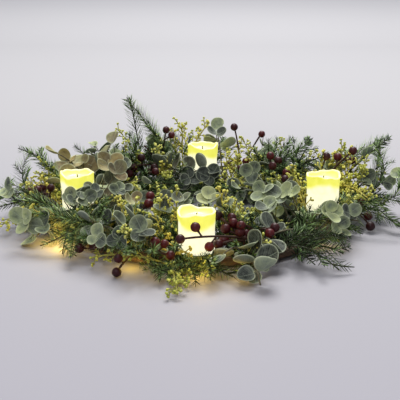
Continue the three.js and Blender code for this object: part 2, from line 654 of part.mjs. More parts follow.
// Whether the edge from p to q passes through the triangle a, b, c.
function pierces(p, q, a, b, c) {
  const along = q.clone().sub(p);
  const [ab, ac] = [b.clone().sub(a), c.clone().sub(a)];
  const h = along.clone().cross(ac);
  const det = ab.dot(h);
  if (Math.abs(det) < 1e-9) return false;
  const away = p.clone().sub(a);
  const u = away.dot(h) / det;
  if (u < 0 || u > 1) return false;
  const k = away.cross(ab);
  const v = along.dot(k) / det;
  const t = ac.dot(k) / det;
  return v >= 0 && u + v <= 1 && t >= 0 && t <= 1;
}

// The small pieces of a body that cross another part of it: needles first, then the others.
function crossingPieces(body) {
  const corners = body.faces.map((face) => face.map((k) => body.points[k]));
  const boxes = corners.map((points) => new THREE.Box3().setFromPoints(points));
  const order = boxes.map((_, i) => i).sort((i, j) => boxes[i].min.x - boxes[j].min.x);
  const found = new Set();
  const meets = (i, j) => body.faces[i].some((p, k) => {
    const q = body.faces[i][(k + 1) % 3];
    if (body.faces[j].includes(p) || body.faces[j].includes(q)) return false;
    return pierces(body.points[p], body.points[q], ...corners[j]);
  });
  order.forEach((i, place) => {
    for (let n = place + 1; n < order.length && boxes[order[n]].min.x <= boxes[i].max.x; n++) {
      const j = order[n];
      if (!boxes[i].intersectsBox(boxes[j]) || !(meets(i, j) || meets(j, i))) continue;
      const pair = [body.pieces[i], body.pieces[j]].filter(Boolean);
      for (const kind of ["needle", "leaf", "berry", "stem"]) {
        const piece = pair.find((one) => one.kind === kind && !one.main);
        if (!piece) continue;
        if (!pair.some((one) => found.has(one))) found.add(piece);
        break;
      }
    }
  });
  return found;
}

function sprayGeometry(spray, seed) {
  const fir = spray.kind === "fir";
  [...spray.branches, ...(spray.twigs ?? [])].forEach((stem, i) => {
    Object.assign(stem, {
      owner: spray.name,
      needles: fir,
      seed: seed + 11 * i,
      pitch: fir ? NEEDLE_PITCH : STEM_PITCH,
      main: i === 0,
      needleTips: new Map(),
      bare: i === 0 ? 16 : 6,
      twig: i >= spray.branches.length,
      rootReach: i < spray.branches.length ? FORK_REACH : TWIG_REACH,
    });
  });
  const dropped = new Set();
  for (let round = 0; round < 8; round++) {
    const body = { points: [], faces: [], pieces: [], dropped };
    growStem(body, spray.branches[0]);
    const crossing = crossingPieces(body);
    if (!crossing.size) {
      spray.dropped = dropped;
      return geometryOf(body.points, body.faces);
    }
    crossing.forEach((piece) => dropped.add(piece));
  }
  throw new Error(`${spray.name} still crosses itself`);
}

// The candles; each drip has its middle and half its width in degrees, and its length
const DRIPS = [
  [20, 26, 22], [70, 18, 12], [118, 26, 30], [165, 20, 14], [208, 30, 26], [262, 20, 16], [315, 24, 24],
];

function waxRim(angle, seed) {
  const wave = Math.sin(2 * angle + seed) * 0.6 + Math.sin(3 * angle + 2.1 * seed) * 0.4;
  return CANDLE_HEIGHT + RIM_WAVE * wave;
}

function waxRadius(angle, height, seed) {
  let bulge = 0;
  for (const [middle, width, length] of DRIPS) {
    const turned = (angle / RAD - middle - 40 * seed) % 360;
    const off = Math.abs(((turned + 540) % 360) - 180) / width;
    const down = (waxRim(angle, seed) - height) / length;
    if (off < 1 && down < 1) bulge = Math.max(bulge, (1 - off * off) * Math.min(1, 2 * (1 - down)));
  }
  return CANDLE_RADIUS - DRIP_DEPTH * (1 - bulge);
}

const waxGeometry = (seed) => turnedGeometry([
  () => [0, CAVITY_HEIGHT],
  () => [CAVITY_RADIUS, CAVITY_HEIGHT - 2],
  () => [CAVITY_RADIUS, 0],
  (angle) => [waxRadius(angle, 0, seed), 0],
  (angle) => [waxRadius(angle, 22, seed), 22],
  (angle) => [waxRadius(angle, 38, seed), 38],
  (angle) => [waxRadius(angle, waxRim(angle, seed) - 4, seed), waxRim(angle, seed) - 4],
  (angle) => [CANDLE_RADIUS - 0.5 * RIM_WIDTH, waxRim(angle, seed)],
  (angle) => [CANDLE_RADIUS - 1.5 * RIM_WIDTH, waxRim(angle, seed) - 3],
  () => [POOL_RADIUS, CANDLE_HEIGHT - POOL_DEPTH],
  () => [0, WICK_FOOT - SEAT_GAP],
], CANDLE_SIDES);

const cupGeometry = () => turnedGeometry(flatRows([
  [0, 0], [CUP_RADIUS, 0], [CUP_RADIUS, CUP_LIP], [CUP_RADIUS - CUP_WALL, CUP_LIP],
  [CUP_RADIUS - CUP_WALL, CUP_FLOOR], [0, CUP_FLOOR],
]), CUP_SIDES);

const lightGeometry = () => turnedGeometry(flatRows([
  [0, 0], [LIGHT_RADIUS, 0], [LIGHT_RADIUS, LIGHT_HEIGHT], [LED_RADIUS, LIGHT_HEIGHT],
  [LED_RADIUS, LIGHT_HEIGHT + 4], [0, LIGHT_HEIGHT + 5.5],
]), 8);

const wickGeometry = () => turnedGeometry(flatRows([
  [0, 0], [WICK_RADIUS, 0], [WICK_RADIUS * 0.7, WICK_HEIGHT], [0, WICK_HEIGHT + 0.4],
]), 4);

// Everything, put together
const MATERIALS = {
  vine: { color: 0x5b3f2a, roughness: 0.9 },
  cup: { color: 0x2f4a2c, roughness: 0.5 },
  wax: { color: 0xfff3b0, roughness: 0.45, emissive: 0xffe04a, emissiveIntensity: 0.5 },
  light: { color: 0xf4f2ea, roughness: 0.5 },
  wick: { color: 0x2a1a10, roughness: 0.9 },
  fir: { color: 0x2f4f34, roughness: 0.7 },
  eucalyptus: { color: 0x8a9a86, roughness: 0.75 },
  berries: { color: 0x5c1a1c, roughness: 0.35 },
  sprig: { color: 0x8a8f3a, roughness: 0.7 },
};

const wreath = new THREE.Group();
wreath.name = "advent_wreath";

function add(name, material, geometry, place = new THREE.Vector3()) {
  const { color, roughness, emissive = 0, emissiveIntensity = 1 } = MATERIALS[material];
  const mesh = new THREE.Mesh(geometry, new THREE.MeshStandardMaterial({
    color, roughness, metalness: 0, emissive, emissiveIntensity,
  }));
  mesh.name = name;
  mesh.position.copy(place);
  wreath.add(mesh);
}

add("vine_ring", "vine", ringGeometry());

const waxBase = CUP_BASE + CUP_FLOOR + SEAT_GAP;
Object.entries(CANDLE_ANGLES).forEach(([side, angle], i) => {
  const at = (height) => polar(angle, RING_RADIUS, height);
  add(`candle_cup_${side}`, "cup", cupGeometry(), at(CUP_BASE));
  add(`light_unit_${side}`, "light", lightGeometry(), at(waxBase));
  add(`candle_wax_${side}`, "wax", waxGeometry(i), at(waxBase));
  add(`wick_${side}`, "wick", wickGeometry(), at(waxBase + WICK_FOOT));
});

const seedOf = (spray) => 1 + SPRAYS.indexOf(spray);
SPRAYS.forEach(placeStems);
SPRAYS.forEach((spray) => placeShoots(spray, seedOf(spray)));
for (const spray of SPRAYS) {
  if (spray.kind === "eucalyptus") placeLeaves(spray, seedOf(spray));
  if (spray.kind === "berries") placeBerries(spray, seedOf(spray));
}
for (const spray of SPRAYS) {
  if (spray.kind === "fir" || spray.kind === "sprig") placeTwigs(spray, seedOf(spray));
}
for (const spray of SPRAYS) add(spray.name, spray.kind, sprayGeometry(spray, seedOf(spray)));

// The wreath stands with the middle of its outline at the origin
const outline = new THREE.Box3().setFromObject(wreath);
for (const mesh of wreath.children) {
  mesh.position.x -= (outline.min.x + outline.max.x) / 2;
  mesh.position.y -= (outline.min.y + outline.max.y) / 2;
  mesh.position.z -= outline.min.z;
}

export default wreath;
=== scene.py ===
"""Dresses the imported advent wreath: needles, leaves, berries, sprigs, bark and lit wax candles.

The sprays are set out by the same rules as in the CAD source. Where a rule leaves a choice, such as
which way a stem was bent or which leaves were left out, the CAD node itself says which was taken.
Lengths are in millimetres round the ring's centre until a piece is made, and then in metres.
"""
import math

import bpy
import numpy as np
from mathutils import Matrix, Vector
from mathutils.bvhtree import BVHTree
from mathutils.kdtree import KDTree


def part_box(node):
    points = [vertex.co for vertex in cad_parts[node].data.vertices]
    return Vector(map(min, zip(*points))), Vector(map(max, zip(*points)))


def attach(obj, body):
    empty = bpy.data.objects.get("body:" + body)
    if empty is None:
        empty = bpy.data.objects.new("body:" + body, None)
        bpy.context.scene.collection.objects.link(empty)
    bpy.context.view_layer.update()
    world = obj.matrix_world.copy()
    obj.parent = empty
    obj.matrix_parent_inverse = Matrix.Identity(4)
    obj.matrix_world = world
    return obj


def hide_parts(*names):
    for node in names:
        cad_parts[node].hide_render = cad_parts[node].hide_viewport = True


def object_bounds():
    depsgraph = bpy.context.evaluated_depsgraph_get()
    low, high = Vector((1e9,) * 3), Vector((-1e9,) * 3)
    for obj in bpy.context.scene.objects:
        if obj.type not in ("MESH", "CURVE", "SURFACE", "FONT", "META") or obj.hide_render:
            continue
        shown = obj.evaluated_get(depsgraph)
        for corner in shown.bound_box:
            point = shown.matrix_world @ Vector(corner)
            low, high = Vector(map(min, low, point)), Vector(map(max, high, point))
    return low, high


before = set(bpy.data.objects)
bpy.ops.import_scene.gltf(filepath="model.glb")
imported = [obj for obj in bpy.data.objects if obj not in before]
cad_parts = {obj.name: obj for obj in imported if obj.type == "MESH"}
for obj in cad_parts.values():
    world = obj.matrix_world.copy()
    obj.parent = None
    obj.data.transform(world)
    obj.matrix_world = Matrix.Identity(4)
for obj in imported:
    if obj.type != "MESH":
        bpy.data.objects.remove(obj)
CAD_BOX = [list(corner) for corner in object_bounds()]

SIDES = ("right", "back", "left", "front")
CUP_BOXES = [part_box(f"candle_cup_{side}") for side in SIDES]
CENTRE = sum((np.array(low) + np.array(high) for low, high in CUP_BOXES)) / (2 * len(SIDES))
CENTRE[2] = 0.0
UP = np.array([0.0, 0.0, 1.0])
METRES_PER_MM, MM_PER_METRE = 0.001, 1000

# Camera and light
CAMERA_AIM = Vector((CENTRE[0], CENTRE[1], 0.07))
CAMERA_DISTANCE = 1.315
CAMERA_ELEVATION = math.radians(15.5)
CAMERA_EXTRA_TILT = math.radians(1.487)
CAMERA_TURN = math.radians(1.4)
SENSOR = 36.0
FOCAL_PIXELS = 909.0
FRAME_PIXELS = 400.0

scene = bpy.context.scene
camera_data = bpy.data.cameras.new("camera")
camera_data.sensor_width = SENSOR
camera_data.lens = SENSOR * FOCAL_PIXELS / FRAME_PIXELS
camera = bpy.data.objects.new("camera", camera_data)
scene.collection.objects.link(camera)
CAMERA_LEVEL = Vector((math.sin(CAMERA_TURN), -math.cos(CAMERA_TURN), 0.0))
BACKWARD = np.array(CAMERA_LEVEL)
camera.location = CAMERA_AIM + CAMERA_DISTANCE * (
    CAMERA_LEVEL * math.cos(CAMERA_ELEVATION) + Vector((0.0, 0.0, math.sin(CAMERA_ELEVATION))))
camera.rotation_euler = (math.pi / 2 - CAMERA_ELEVATION - CAMERA_EXTRA_TILT, 0.0, CAMERA_TURN)
scene.camera = camera
scene.view_settings.view_transform = "Standard"


def light(name, kind, place, power, colour, size, aim=None):
    data = bpy.data.lights.new(name, kind)
    data.energy = power
    data.color = colour
    if kind == "AREA":
        data.shape = "DISK"
        data.size = size
    else:
        data.shadow_soft_size = size
    lamp = bpy.data.objects.new(name, data)
    lamp.location = place
    if aim is not None:
        lamp.rotation_euler = (Vector(aim) - Vector(place)).to_track_quat("-Z", "Y").to_euler()
    scene.collection.objects.link(lamp)


light("studio_key", "AREA", (0.2, 1.9, 3.3), power=180, colour=(1.0, 0.99, 0.96), size=2.2, aim=(0, 0, 0))
light("studio_fill", "AREA", (-0.6, -2.6, 3.2), power=44, colour=(0.97, 0.98, 1.0), size=1.6, aim=(0, 0, 0))

world = bpy.data.worlds.new("studio")
scene.world = world
world.use_nodes = True
world.node_tree.nodes["Background"].inputs["Color"].default_value = (0.88, 0.89, 0.95, 1.0)
world.node_tree.nodes["Background"].inputs["Strength"].default_value = 0.44


# Materials
# The depth of a fine bump, in metres
FINE_DEPTH = 0.0004


class Shader:
    """A material with one Principled node, and short ways to add the nodes that feed it."""

    def __init__(self, name, roughness):
        self.material = bpy.data.materials.new(name)
        self.material.use_nodes = True
        self.tree = self.material.node_tree
        self.out = self.tree.nodes["Principled BSDF"]
        self.set("Roughness", roughness)

    def feed(self, socket, value):
        """Links a socket to another, or sets its value. A colour is given without its alpha."""
        if isinstance(value, bpy.types.NodeSocket):
            self.tree.links.new(value, socket)
        else:
            socket.default_value = (*value, 1.0) if socket.type == "RGBA" else value

    def set(self, socket, value):
        self.feed(self.out.inputs[socket], value)

    def node(self, kind, inputs=None, **settings):
        made = self.tree.nodes.new(kind)
        for key, value in settings.items():
            setattr(made, key, value)
        for key, value in (inputs or {}).items():
            self.feed(made.inputs[key], value)
        return made.outputs

    def math(self, operation, a, b=0.0):
        return self.node("ShaderNodeMath", {0: a, 1: b}, operation=operation)[0]

    def plus(self, a, b):
        return self.math("ADD", a, b)

    def minus(self, a, b):
        return self.math("SUBTRACT", a, b)

    def times(self, a, b):
        return self.math("MULTIPLY", a, b)

    def kept(self, label):
        """The three numbers that a vertex keeps as paint (tone, wood, warm) or where (place on its body)."""
        read = self.node("ShaderNodeAttribute", attribute_name=label)["Vector"]
        return self.node("ShaderNodeSeparateXYZ", {"Vector": read})

    def place(self):
        return self.node("ShaderNodeTexCoord")["Object"]

    def noise(self, scale, detail=3.0, rough=0.55, place=None):
        place = self.place() if place is None else place
        inputs = {"Vector": place, "Scale": scale, "Detail": detail, "Roughness": rough}
        return self.node("ShaderNodeTexNoise", inputs)["Fac"]

    def ramp(self, value, *stops):
        made = self.tree.nodes.new("ShaderNodeValToRGB")
        self.feed(made.inputs["Fac"], value)
        marks = made.color_ramp.elements
        while len(marks) < len(stops):
            marks.new(0.5)
        for mark, (at, colour) in zip(marks, stops):
            mark.position, mark.color = at, (*colour, 1.0)
        return made.outputs["Color"]

    def mottled(self, scale, low, high, detail=3.0, start=0.3, end=0.7):
        return self.ramp(self.noise(scale, detail), (start, low), (end, high))

    def mix(self, factor, a, b):
        return self.node("ShaderNodeMix", {0: factor, 6: a, 7: b}, data_type="RGBA")[2]

    def bump(self, height, strength, distance=FINE_DEPTH):
        inputs = {"Height": height, "Strength": strength, "Distance": distance}
        self.set("Normal", self.node("ShaderNodeBump", inputs)["Normal"])


def fir_material():
    s = Shader("fir_needles", 0.5)
    tone, wood, _ = s.kept("paint")
    along = s.kept("where")[0]
    # The tone carries random variation and the painted shade of needles near a stem's root
    green = s.ramp(tone, (0.0, (0.007, 0.017, 0.004)), (0.3, (0.034, 0.074, 0.018)),
                   (0.65, (0.165, 0.275, 0.062)), (1.0, (0.460, 0.580, 0.220)))
    # Painted highlight: a needle is paler towards its tip where its tone is bright
    tip_highlighted = s.mix(s.times(s.times(along, tone), 0.7), green, (0.330, 0.470, 0.250))
    bark = s.mottled(900.0, (0.022, 0.034, 0.012), (0.060, 0.066, 0.026))
    s.set("Base Color", s.mix(wood, tip_highlighted, bark))
    s.set("Specular IOR Level", 0.25)
    s.bump(s.noise(1400.0, 2.0), 0.25)
    return s.material


def leaf_material():
    s = Shader("eucalyptus_leaf", 0.62)
    tone, wood, warm = s.kept("paint")
    x, y, face = s.kept("where")
    radius = s.math("SQRT", s.plus(s.times(x, x), s.times(y, y)))
    blotch = s.times(s.minus(s.noise(95.0, 4.0, 0.65), 0.5), 1.3)
    # Painted shade: the tone is darker in the cupped middle of a leaf and lighter towards its rim
    cup_shade = s.times(s.minus(radius, 0.75), 0.42)
    tone = s.plus(tone, s.plus(blotch, cup_shade))
    green = s.ramp(tone, (0.0, (0.018, 0.023, 0.021)), (0.35, (0.082, 0.098, 0.076)),
                   (0.7, (0.270, 0.320, 0.175)), (1.0, (0.500, 0.550, 0.260)))
    dust = s.mottled(170.0, (0.0, 0.0, 0.0), (1.0, 1.0, 1.0), 4.0, 0.35, 0.75)
    dusty = s.mix(s.times(dust, 0.32), green, (0.340, 0.370, 0.300))
    # Veins: the midrib, and side veins that leave it at a slant
    rib = s.math("LESS_THAN", s.math("ABSOLUTE", x), 0.035)
    slant = s.minus(y, s.times(s.math("ABSOLUTE", x), 0.8))
    beat = s.math("FRACT", s.times(slant, 4.2))
    side = s.math("LESS_THAN", s.math("ABSOLUTE", s.minus(beat, 0.5)), 0.055)
    vein = s.math("MAXIMUM", rib, s.times(side, 0.55))
    veined = s.mix(s.times(vein, 0.55), dusty, (0.33, 0.38, 0.28))
    # The underside is paler, and leaves near a candle are lit through and look golden
    under = s.times(s.math("LESS_THAN", face, 0.0), 0.35)
    paled = s.mix(under, veined, (0.30, 0.36, 0.29))
    lit = s.mottled(90.0, (0.230, 0.130, 0.045), (0.560, 0.420, 0.150), 4.0, 0.35, 0.65)
    warmed = s.mix(warm, paled, lit)
    # Painted highlight: a pale band along the rim, as light catching the leaf's edge from behind
    rim = s.times(s.minus(radius, 0.86), 6.0)
    rim = s.times(s.math("MINIMUM", s.math("MAXIMUM", rim, 0.0), 1.0), 0.7)
    rim_highlighted = s.mix(rim, warmed, (0.66, 0.72, 0.50))
    stem = s.mottled(600.0, (0.085, 0.075, 0.045), (0.17, 0.15, 0.09))
    s.set("Base Color", s.mix(wood, rim_highlighted, stem))
    s.set("Specular IOR Level", 0.25)
    s.bump(s.plus(s.times(vein, 0.6), s.noise(420.0, 4.0)), 0.5, 0.0007)
    return s.material


def berry_material():
    s = Shader("red_berries", 0.34)
    tone, wood, _ = s.kept("paint")
    red = s.ramp(tone, (0.0, (0.022, 0.002, 0.003)), (0.5, (0.060, 0.003, 0.005)),
                 (1.0, (0.135, 0.007, 0.009)))
    mottled = s.mix(s.times(s.noise(420.0, 4.0), 0.5), red, (0.020, 0.003, 0.004))
    pole = s.kept("where")[2]
    eyed = s.mix(s.math("GREATER_THAN", pole, 0.965), mottled, (0.012, 0.008, 0.005))
    bark = s.mottled(700.0, (0.020, 0.010, 0.007), (0.075, 0.030, 0.020))
    s.set("Base Color", s.mix(wood, eyed, bark))
    s.set("Roughness", s.plus(s.times(wood, 0.3), 0.42))
    s.set("Specular IOR Level", 0.3)
    s.bump(s.noise(650.0, 3.0), 0.3, 0.0006)
    return s.material


def sprig_material():
    s = Shader("filler_sprig", 0.6)
    tone, wood, warm = s.kept("paint")
    bead = s.ramp(tone, (0.0, (0.240, 0.280, 0.033)), (0.5, (0.530, 0.560, 0.080)),
                  (1.0, (0.800, 0.780, 0.200)))
    stalk = s.mottled(500.0, (0.190, 0.200, 0.030), (0.420, 0.400, 0.070))
    # Painted candle light: the warm number mixes a golden glow into the beads and stalks
    s.set("Base Color", s.mix(warm, s.mix(wood, bead, stalk), (0.80, 0.58, 0.07)))
    s.bump(s.noise(1500.0, 2.0), 0.3)
    return s.material


def bark_material():
    s = Shader("vine_bark", 0.85)
    tone = s.kept("paint")[0]
    where = s.node("ShaderNodeAttribute", attribute_name="where")["Vector"]
    grain = s.noise(1.0, 6.0, 0.5, where)
    colour = s.ramp(grain, (0.3, (0.045, 0.025, 0.014)), (0.55, (0.130, 0.075, 0.042)),
                    (0.8, (0.240, 0.160, 0.100)))
    s.set("Base Color", s.mix(s.times(tone, 0.5), colour, (0.16, 0.11, 0.07)))
    s.bump(grain, 0.7, 0.0012)
    return s.material


def wax_material():
    s = Shader("lit_wax", 0.42)
    glow, _, wall = s.kept("paint")
    cloud = s.times(s.minus(s.noise(48.0, 3.0), 0.5), 0.26)
    # The outer wall is thicker where the wax has run, and dimmer there
    run = s.times(s.minus(s.noise(70.0, 2.0), 0.35), wall)
    level = s.minus(s.plus(glow, cloud), s.times(s.math("MAXIMUM", run, 0.0), 0.9))
    s.set("Base Color", (0.40, 0.38, 0.06))
    s.set("Emission Color", s.ramp(level, (0.0, (0.56, 0.57, 0.040)), (0.35, (0.68, 0.67, 0.110)),
                                   (0.65, (0.76, 0.74, 0.280)), (1.0, (0.84, 0.81, 0.620))))
    s.set("Emission Strength", 1.15)
    s.set("Coat Weight", 0.2)
    s.bump(s.noise(240.0, 3.0), 0.12, 0.0006)
    return s.material


def plain_material(name, low, high, scale, roughness, bump=0.2):
    s = Shader(name, roughness)
    s.set("Base Color", s.mottled(scale, low, high))
    s.bump(s.noise(scale * 3), bump)
    return s.material


MATERIALS = {
    "fir": fir_material(),
    "eucalyptus": leaf_material(),
    "berries": berry_material(),
    "sprig": sprig_material(),
    "vine": bark_material(),
    "wax": wax_material(),
    "cup": plain_material("cup_plastic", (0.010, 0.028, 0.010), (0.022, 0.050, 0.020), 90.0, 0.45),
    "light": plain_material("unit_plastic", (0.72, 0.70, 0.62), (0.82, 0.80, 0.74), 60.0, 0.4),
    "wick": plain_material("charred_wick", (0.006, 0.004, 0.003), (0.05, 0.03, 0.02), 900.0, 0.9, 0.6),
}

# The floor: how far it reaches each way, and its level just below the ring, in metres
FLOOR_REACH, FLOOR_LEVEL = 14.0, -0.0002


def make_floor():
    signs = ((-1, -1), (1, -1), (1, 1), (-1, 1))
    corners = [(x * FLOOR_REACH, y * FLOOR_REACH, FLOOR_LEVEL) for x, y in signs]
    mesh = bpy.data.meshes.new("floor")
    mesh.from_pydata(corners, [], [(0, 1, 2, 3)])
    s = Shader("studio_floor", 0.7)
    y = s.node("ShaderNodeSeparateXYZ", {"Vector": s.place()})[1]
    # Painted light: the floor's colour is darker towards the front and paler towards the back, as the light
    # falls off
    painted_falloff = s.ramp(s.plus(s.times(y, 0.2), 0.2),
                  (0.08, (0.350, 0.340, 0.382)), (0.20, (0.365, 0.356, 0.386)), (0.34, (0.390, 0.384, 0.402)),
                  (0.60, (0.402, 0.398, 0.418)), (1.0, (0.655, 0.650, 0.680)))
    s.set("Base Color", s.mix(s.times(s.noise(1.2, 2.0), 0.05), painted_falloff, (0.6, 0.6, 0.64)))
    s.set("Specular IOR Level", 0.2)
    mesh.materials.append(s.material)
    floor = bpy.data.objects.new("floor", mesh)
    scene.collection.objects.link(floor)


make_floor()

# Mesh making
# How low and how high any vertex may lie, so that the model stays on the table and near the CAD box
LOWEST, HIGHEST = 0.3, 158.5


class Builder:
    """Collects closed bodies with what each vertex keeps, and makes one piece of them."""

    def __init__(self):
        self.points, self.faces, self.paint, self.where = [], [], [], []
        self.count = 0

    def add(self, points, faces, tone=0.5, wood=0.0, warm=0.0, where=None):
        """Adds a body with its shade, how far it is wood, and how warm it is lit."""
        n = len(points)
        points = np.array(points)
        points[:, 2] = np.clip(points[:, 2], LOWEST, HIGHEST)
        self.points.append(points)
        paint = np.empty((n, 3))
        paint[:, 0], paint[:, 1], paint[:, 2] = tone, wood, warm
        self.paint.append(paint)
        self.where.append(np.zeros((n, 3)) if where is None else where)
        self.faces += [np.asarray(f) + self.count for f in faces]
        self.count += n

    def piece(self, name, kind, node):
        points = np.concatenate(self.points) * METRES_PER_MM + CENTRE
        mesh = bpy.data.meshes.new(name)
        mesh.vertices.add(len(points))
        mesh.vertices.foreach_set("co", points.astype(np.float32).ravel())
        corners = np.concatenate([f.ravel() for f in self.faces]).astype(np.int32)
        sizes = np.concatenate([np.full(len(f), f.shape[1]) for f in self.faces])
        mesh.loops.add(len(corners))
        mesh.loops.foreach_set("vertex_index", corners)
        mesh.polygons.add(len(sizes))
        mesh.polygons.foreach_set("loop_start", (np.cumsum(sizes) - sizes).astype(np.int32))
        mesh.polygons.foreach_set("use_smooth", np.full(len(sizes), True))
        for label, values in (("paint", self.paint), ("where", self.where)):
            kept = mesh.attributes.new(label, "FLOAT_VECTOR", "POINT")
            kept.data.foreach_set("vector", np.concatenate(values).astype(np.float32).ravel())
        mesh.update(calc_edges=True)
        mesh.validate()
        mesh.materials.append(MATERIALS[kind])
        made = bpy.data.objects.new(name, mesh)
        scene.collection.objects.link(made)
        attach(made, "root")
        if node:
            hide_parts(node)


def unit(v):
    return v / np.maximum(1e-12, np.linalg.norm(v, axis=-1, keepdims=True))


def circle(sides):
    return 2 * np.pi * np.arange(sides) / sides


def beside(axis):
    return np.cross(axis, UP if abs(axis[2]) < 0.9 else (1.0, 0.0, 0.0))


def grid_faces(rows, columns):
    """Quads between rows of vertices, where each row is a closed loop."""
    i, j = np.meshgrid(np.arange(rows - 1), np.arange(columns), indexing="ij")
    a, b = i * columns + j, i * columns + (j + 1) % columns
    return np.stack([a, b, b + columns, a + columns], axis=-1).reshape(-1, 4)


def fan(centre, ring, turned_over=False):
    nxt = np.roll(ring, -1)
    pair = (nxt, ring) if turned_over else (ring, nxt)
    return np.stack([np.full(len(ring), centre), *pair], axis=-1)


def closed_faces(rows, columns):
    """The faces of a body of rows of vertices, which one more vertex closes at each end."""
    n = rows * columns
    first, last = np.arange(columns), np.arange(n - columns, n)
    return [grid_faces(rows, columns), fan(n, first, True), fan(n + 1, last)]


def tube(points, radii, sides):
    """A closed tube along points, as its vertices and faces."""
    points = np.asarray(points, float)
    radii = np.broadcast_to(np.asarray(radii, float), len(points))
    tangents = unit(np.gradient(points, axis=0))
    first = beside(tangents[0])
    angle = circle(sides)
    rings = []
    for p, t, r in zip(points, tangents, radii):
        first = unit(first - t * np.dot(first, t))
        second = np.cross(t, first)
        rings.append(p + r * (np.outer(np.cos(angle), first) + np.outer(np.sin(angle), second)))
    return np.concatenate(rings + [points[:1], points[-1:]]), closed_faces(len(points), sides)


def ball(middle, axis, radius, columns, rows, knobs=0.0):
    """A ball round middle, with its height along axis kept as where.z."""
    one = unit(beside(axis))
    two = np.cross(axis, one)
    polar = np.pi * (np.arange(rows) + 1) / (rows + 1)
    p, a = np.meshgrid(polar, circle(columns), indexing="ij")
    size = radius * (1 + knobs * np.sin(3 * a + 5 * p) * np.sin(2 * p))
    heights = -np.cos(p)
    points = (heights * size)[..., None] * axis + (np.sin(p) * size)[..., None] * (
        np.cos(a)[..., None] * one + np.sin(a)[..., None] * two)
    points = np.concatenate([points.reshape(-1, 3), [-axis * radius], [axis * radius]]) + middle
    where = np.zeros((len(points), 3))
    where[:, 2] = [*heights.ravel(), -1.0, 1.0]
    return points, closed_faces(rows, columns), where


def turned(rows, sides):
    """A body turned about Z: rows of radius and height, arrays over the angle or numbers."""
    angle = circle(sides)
    rings = []
    for radius, height in rows[1:-1]:
        radius, height = np.broadcast_to(radius, sides), np.broadcast_to(height, sides)
        rings.append(np.stack([radius * np.cos(angle), radius * np.sin(angle), height], axis=-1))
    ends = [[0.0, 0.0, rows[0][1]], [0.0, 0.0, rows[-1][1]]]
    return np.concatenate(rings + [ends]), closed_faces(len(rings), sides)


# How the sprays are set out, as in the CAD source
RAD = math.pi / 180
GOLDEN = 2.399963
RING_RADIUS, RING_HALF_WIDTH, RING_HALF_HEIGHT, RING_FLAT = 178, 14, 10, 1.8
RING_STRANDS, RING_TWISTS, RING_LOBE, RING_SIDES, RING_STEPS = 3, 5, 0.1, 9, 36
RING_MIDDLE = RING_HALF_HEIGHT - RING_FLAT
SEAT_GAP, STEM_RADIUS = 0.3, 1.4
LEAF_RADIUS, LEAF_PITCH, LEAF_DISH, LEAF_THICKNESS, PETIOLE = 14, 26, 0.22, 0.8, 2.5
BERRY_RADIUS, FIR_TWIG_PITCH, SPRIG_TWIG_PITCH = 6, 38, 28
# Where a spray's stems and shoots fork from its first stem
FORKS = (0, 0.16, 0.3, 0.42)
FIRST_SHOOT, SHOOT_FORKS, SHOOT_SWAY, SHOOT_RISE = 10, (0.09, 0.23), 26, 42
SHOOT_TURNS = {"fir": (-20, 20), "eucalyptus": (18,), "berries": (), "sprig": (-17, 17)}

# The ways in which a stem may be bent: lift, sway, rise and shift
BENDS = [(0, 0, 0, 0)]
for reach in (6, 12, 18):
    BENDS += [(reach, 0, 0, 0), (0, reach, 0, 0), (0, -reach, 0, 0), (reach, 0, reach / 2, 0),
              (0, reach, 0, reach), (0, -reach, 0, -reach), (reach, reach, reach / 2, reach),
              (reach, -reach, reach / 2, -reach), (-reach / 2, 0, -reach / 3, 0)]


def polar(angle, radius, height):
    return np.array([radius * math.cos(angle * RAD), radius * math.sin(angle * RAD), height])


def noise(a, b):
    """A number from 0 to 1 that looks random and is always the same for a and b."""
    n = math.sin(a * 12.9898 + b * 78.233) * 43758.5453
    return n - math.floor(n)


def across(along):
    """A level direction to the side of along, and one above it."""
    side = np.cross(UP, along)
    if side @ side < 1e-6:
        side = np.array([1.0, 0.0, 0.0])
    side = unit(side)
    return side, unit(np.cross(along, side))


def leaning(along, lean, roll):
    """A direction that leans away from along, rolled about it."""
    side, up = across(along)
    return (along * math.cos(lean * RAD) + side * math.sin(lean * RAD) * math.cos(roll * RAD)
            + up * math.sin(lean * RAD) * math.sin(roll * RAD))


def tilted(out, tilt):
    """The way a leaf faces that grows along out and is tilted about it."""
    side, up = across(out)
    return up * math.cos(tilt) + side * math.sin(tilt)


class Curve:
    """A curve through three control points, as three.js has it."""

    def __init__(self, a, b, c):
        self.a, self.b, self.c = a, b, c
        self.length = np.linalg.norm(np.diff(self.at(np.linspace(0, 1, 201)), axis=0), axis=1).sum()

    def at(self, t):
        t = np.asarray(t, float)[..., None]
        return (1 - t) ** 2 * self.a + 2 * (1 - t) * t * self.b + t * t * self.c

    def along(self, t):
        t = np.asarray(t, float)[..., None]
        return unit((1 - t) * (self.b - self.a) + t * (self.c - self.b))


def branch_curve(start, tip, arch, bend):
    """A stem from start to about tip, arched and bent."""
    lift, sway, rise, shift = bend
    side = across(unit(tip - start))[0]
    end = tip + side * shift + UP * rise
    return Curve(start, (start + end) / 2 + UP * (arch + lift) + side * sway, end)


def ring_vertex(step, side):
    """A vertex of the CAD ring."""
    turn_round = 2 * math.pi * step / RING_STEPS
    turn = 2 * math.pi * side / RING_SIDES + RING_TWISTS * turn_round
    lobe = 1 + RING_LOBE * math.cos(2 * math.pi * side * RING_STRANDS / RING_SIDES)
    radius = RING_RADIUS + RING_HALF_WIDTH * lobe * math.cos(turn)
    height = RING_MIDDLE + RING_HALF_HEIGHT * lobe * math.sin(turn)
    return polar(turn_round / RAD, radius, min(2 * RING_MIDDLE, max(0.0, height)))


RING_POINTS = np.array([ring_vertex(k // RING_SIDES, k % RING_SIDES) for k in range(RING_STEPS * RING_SIDES)])


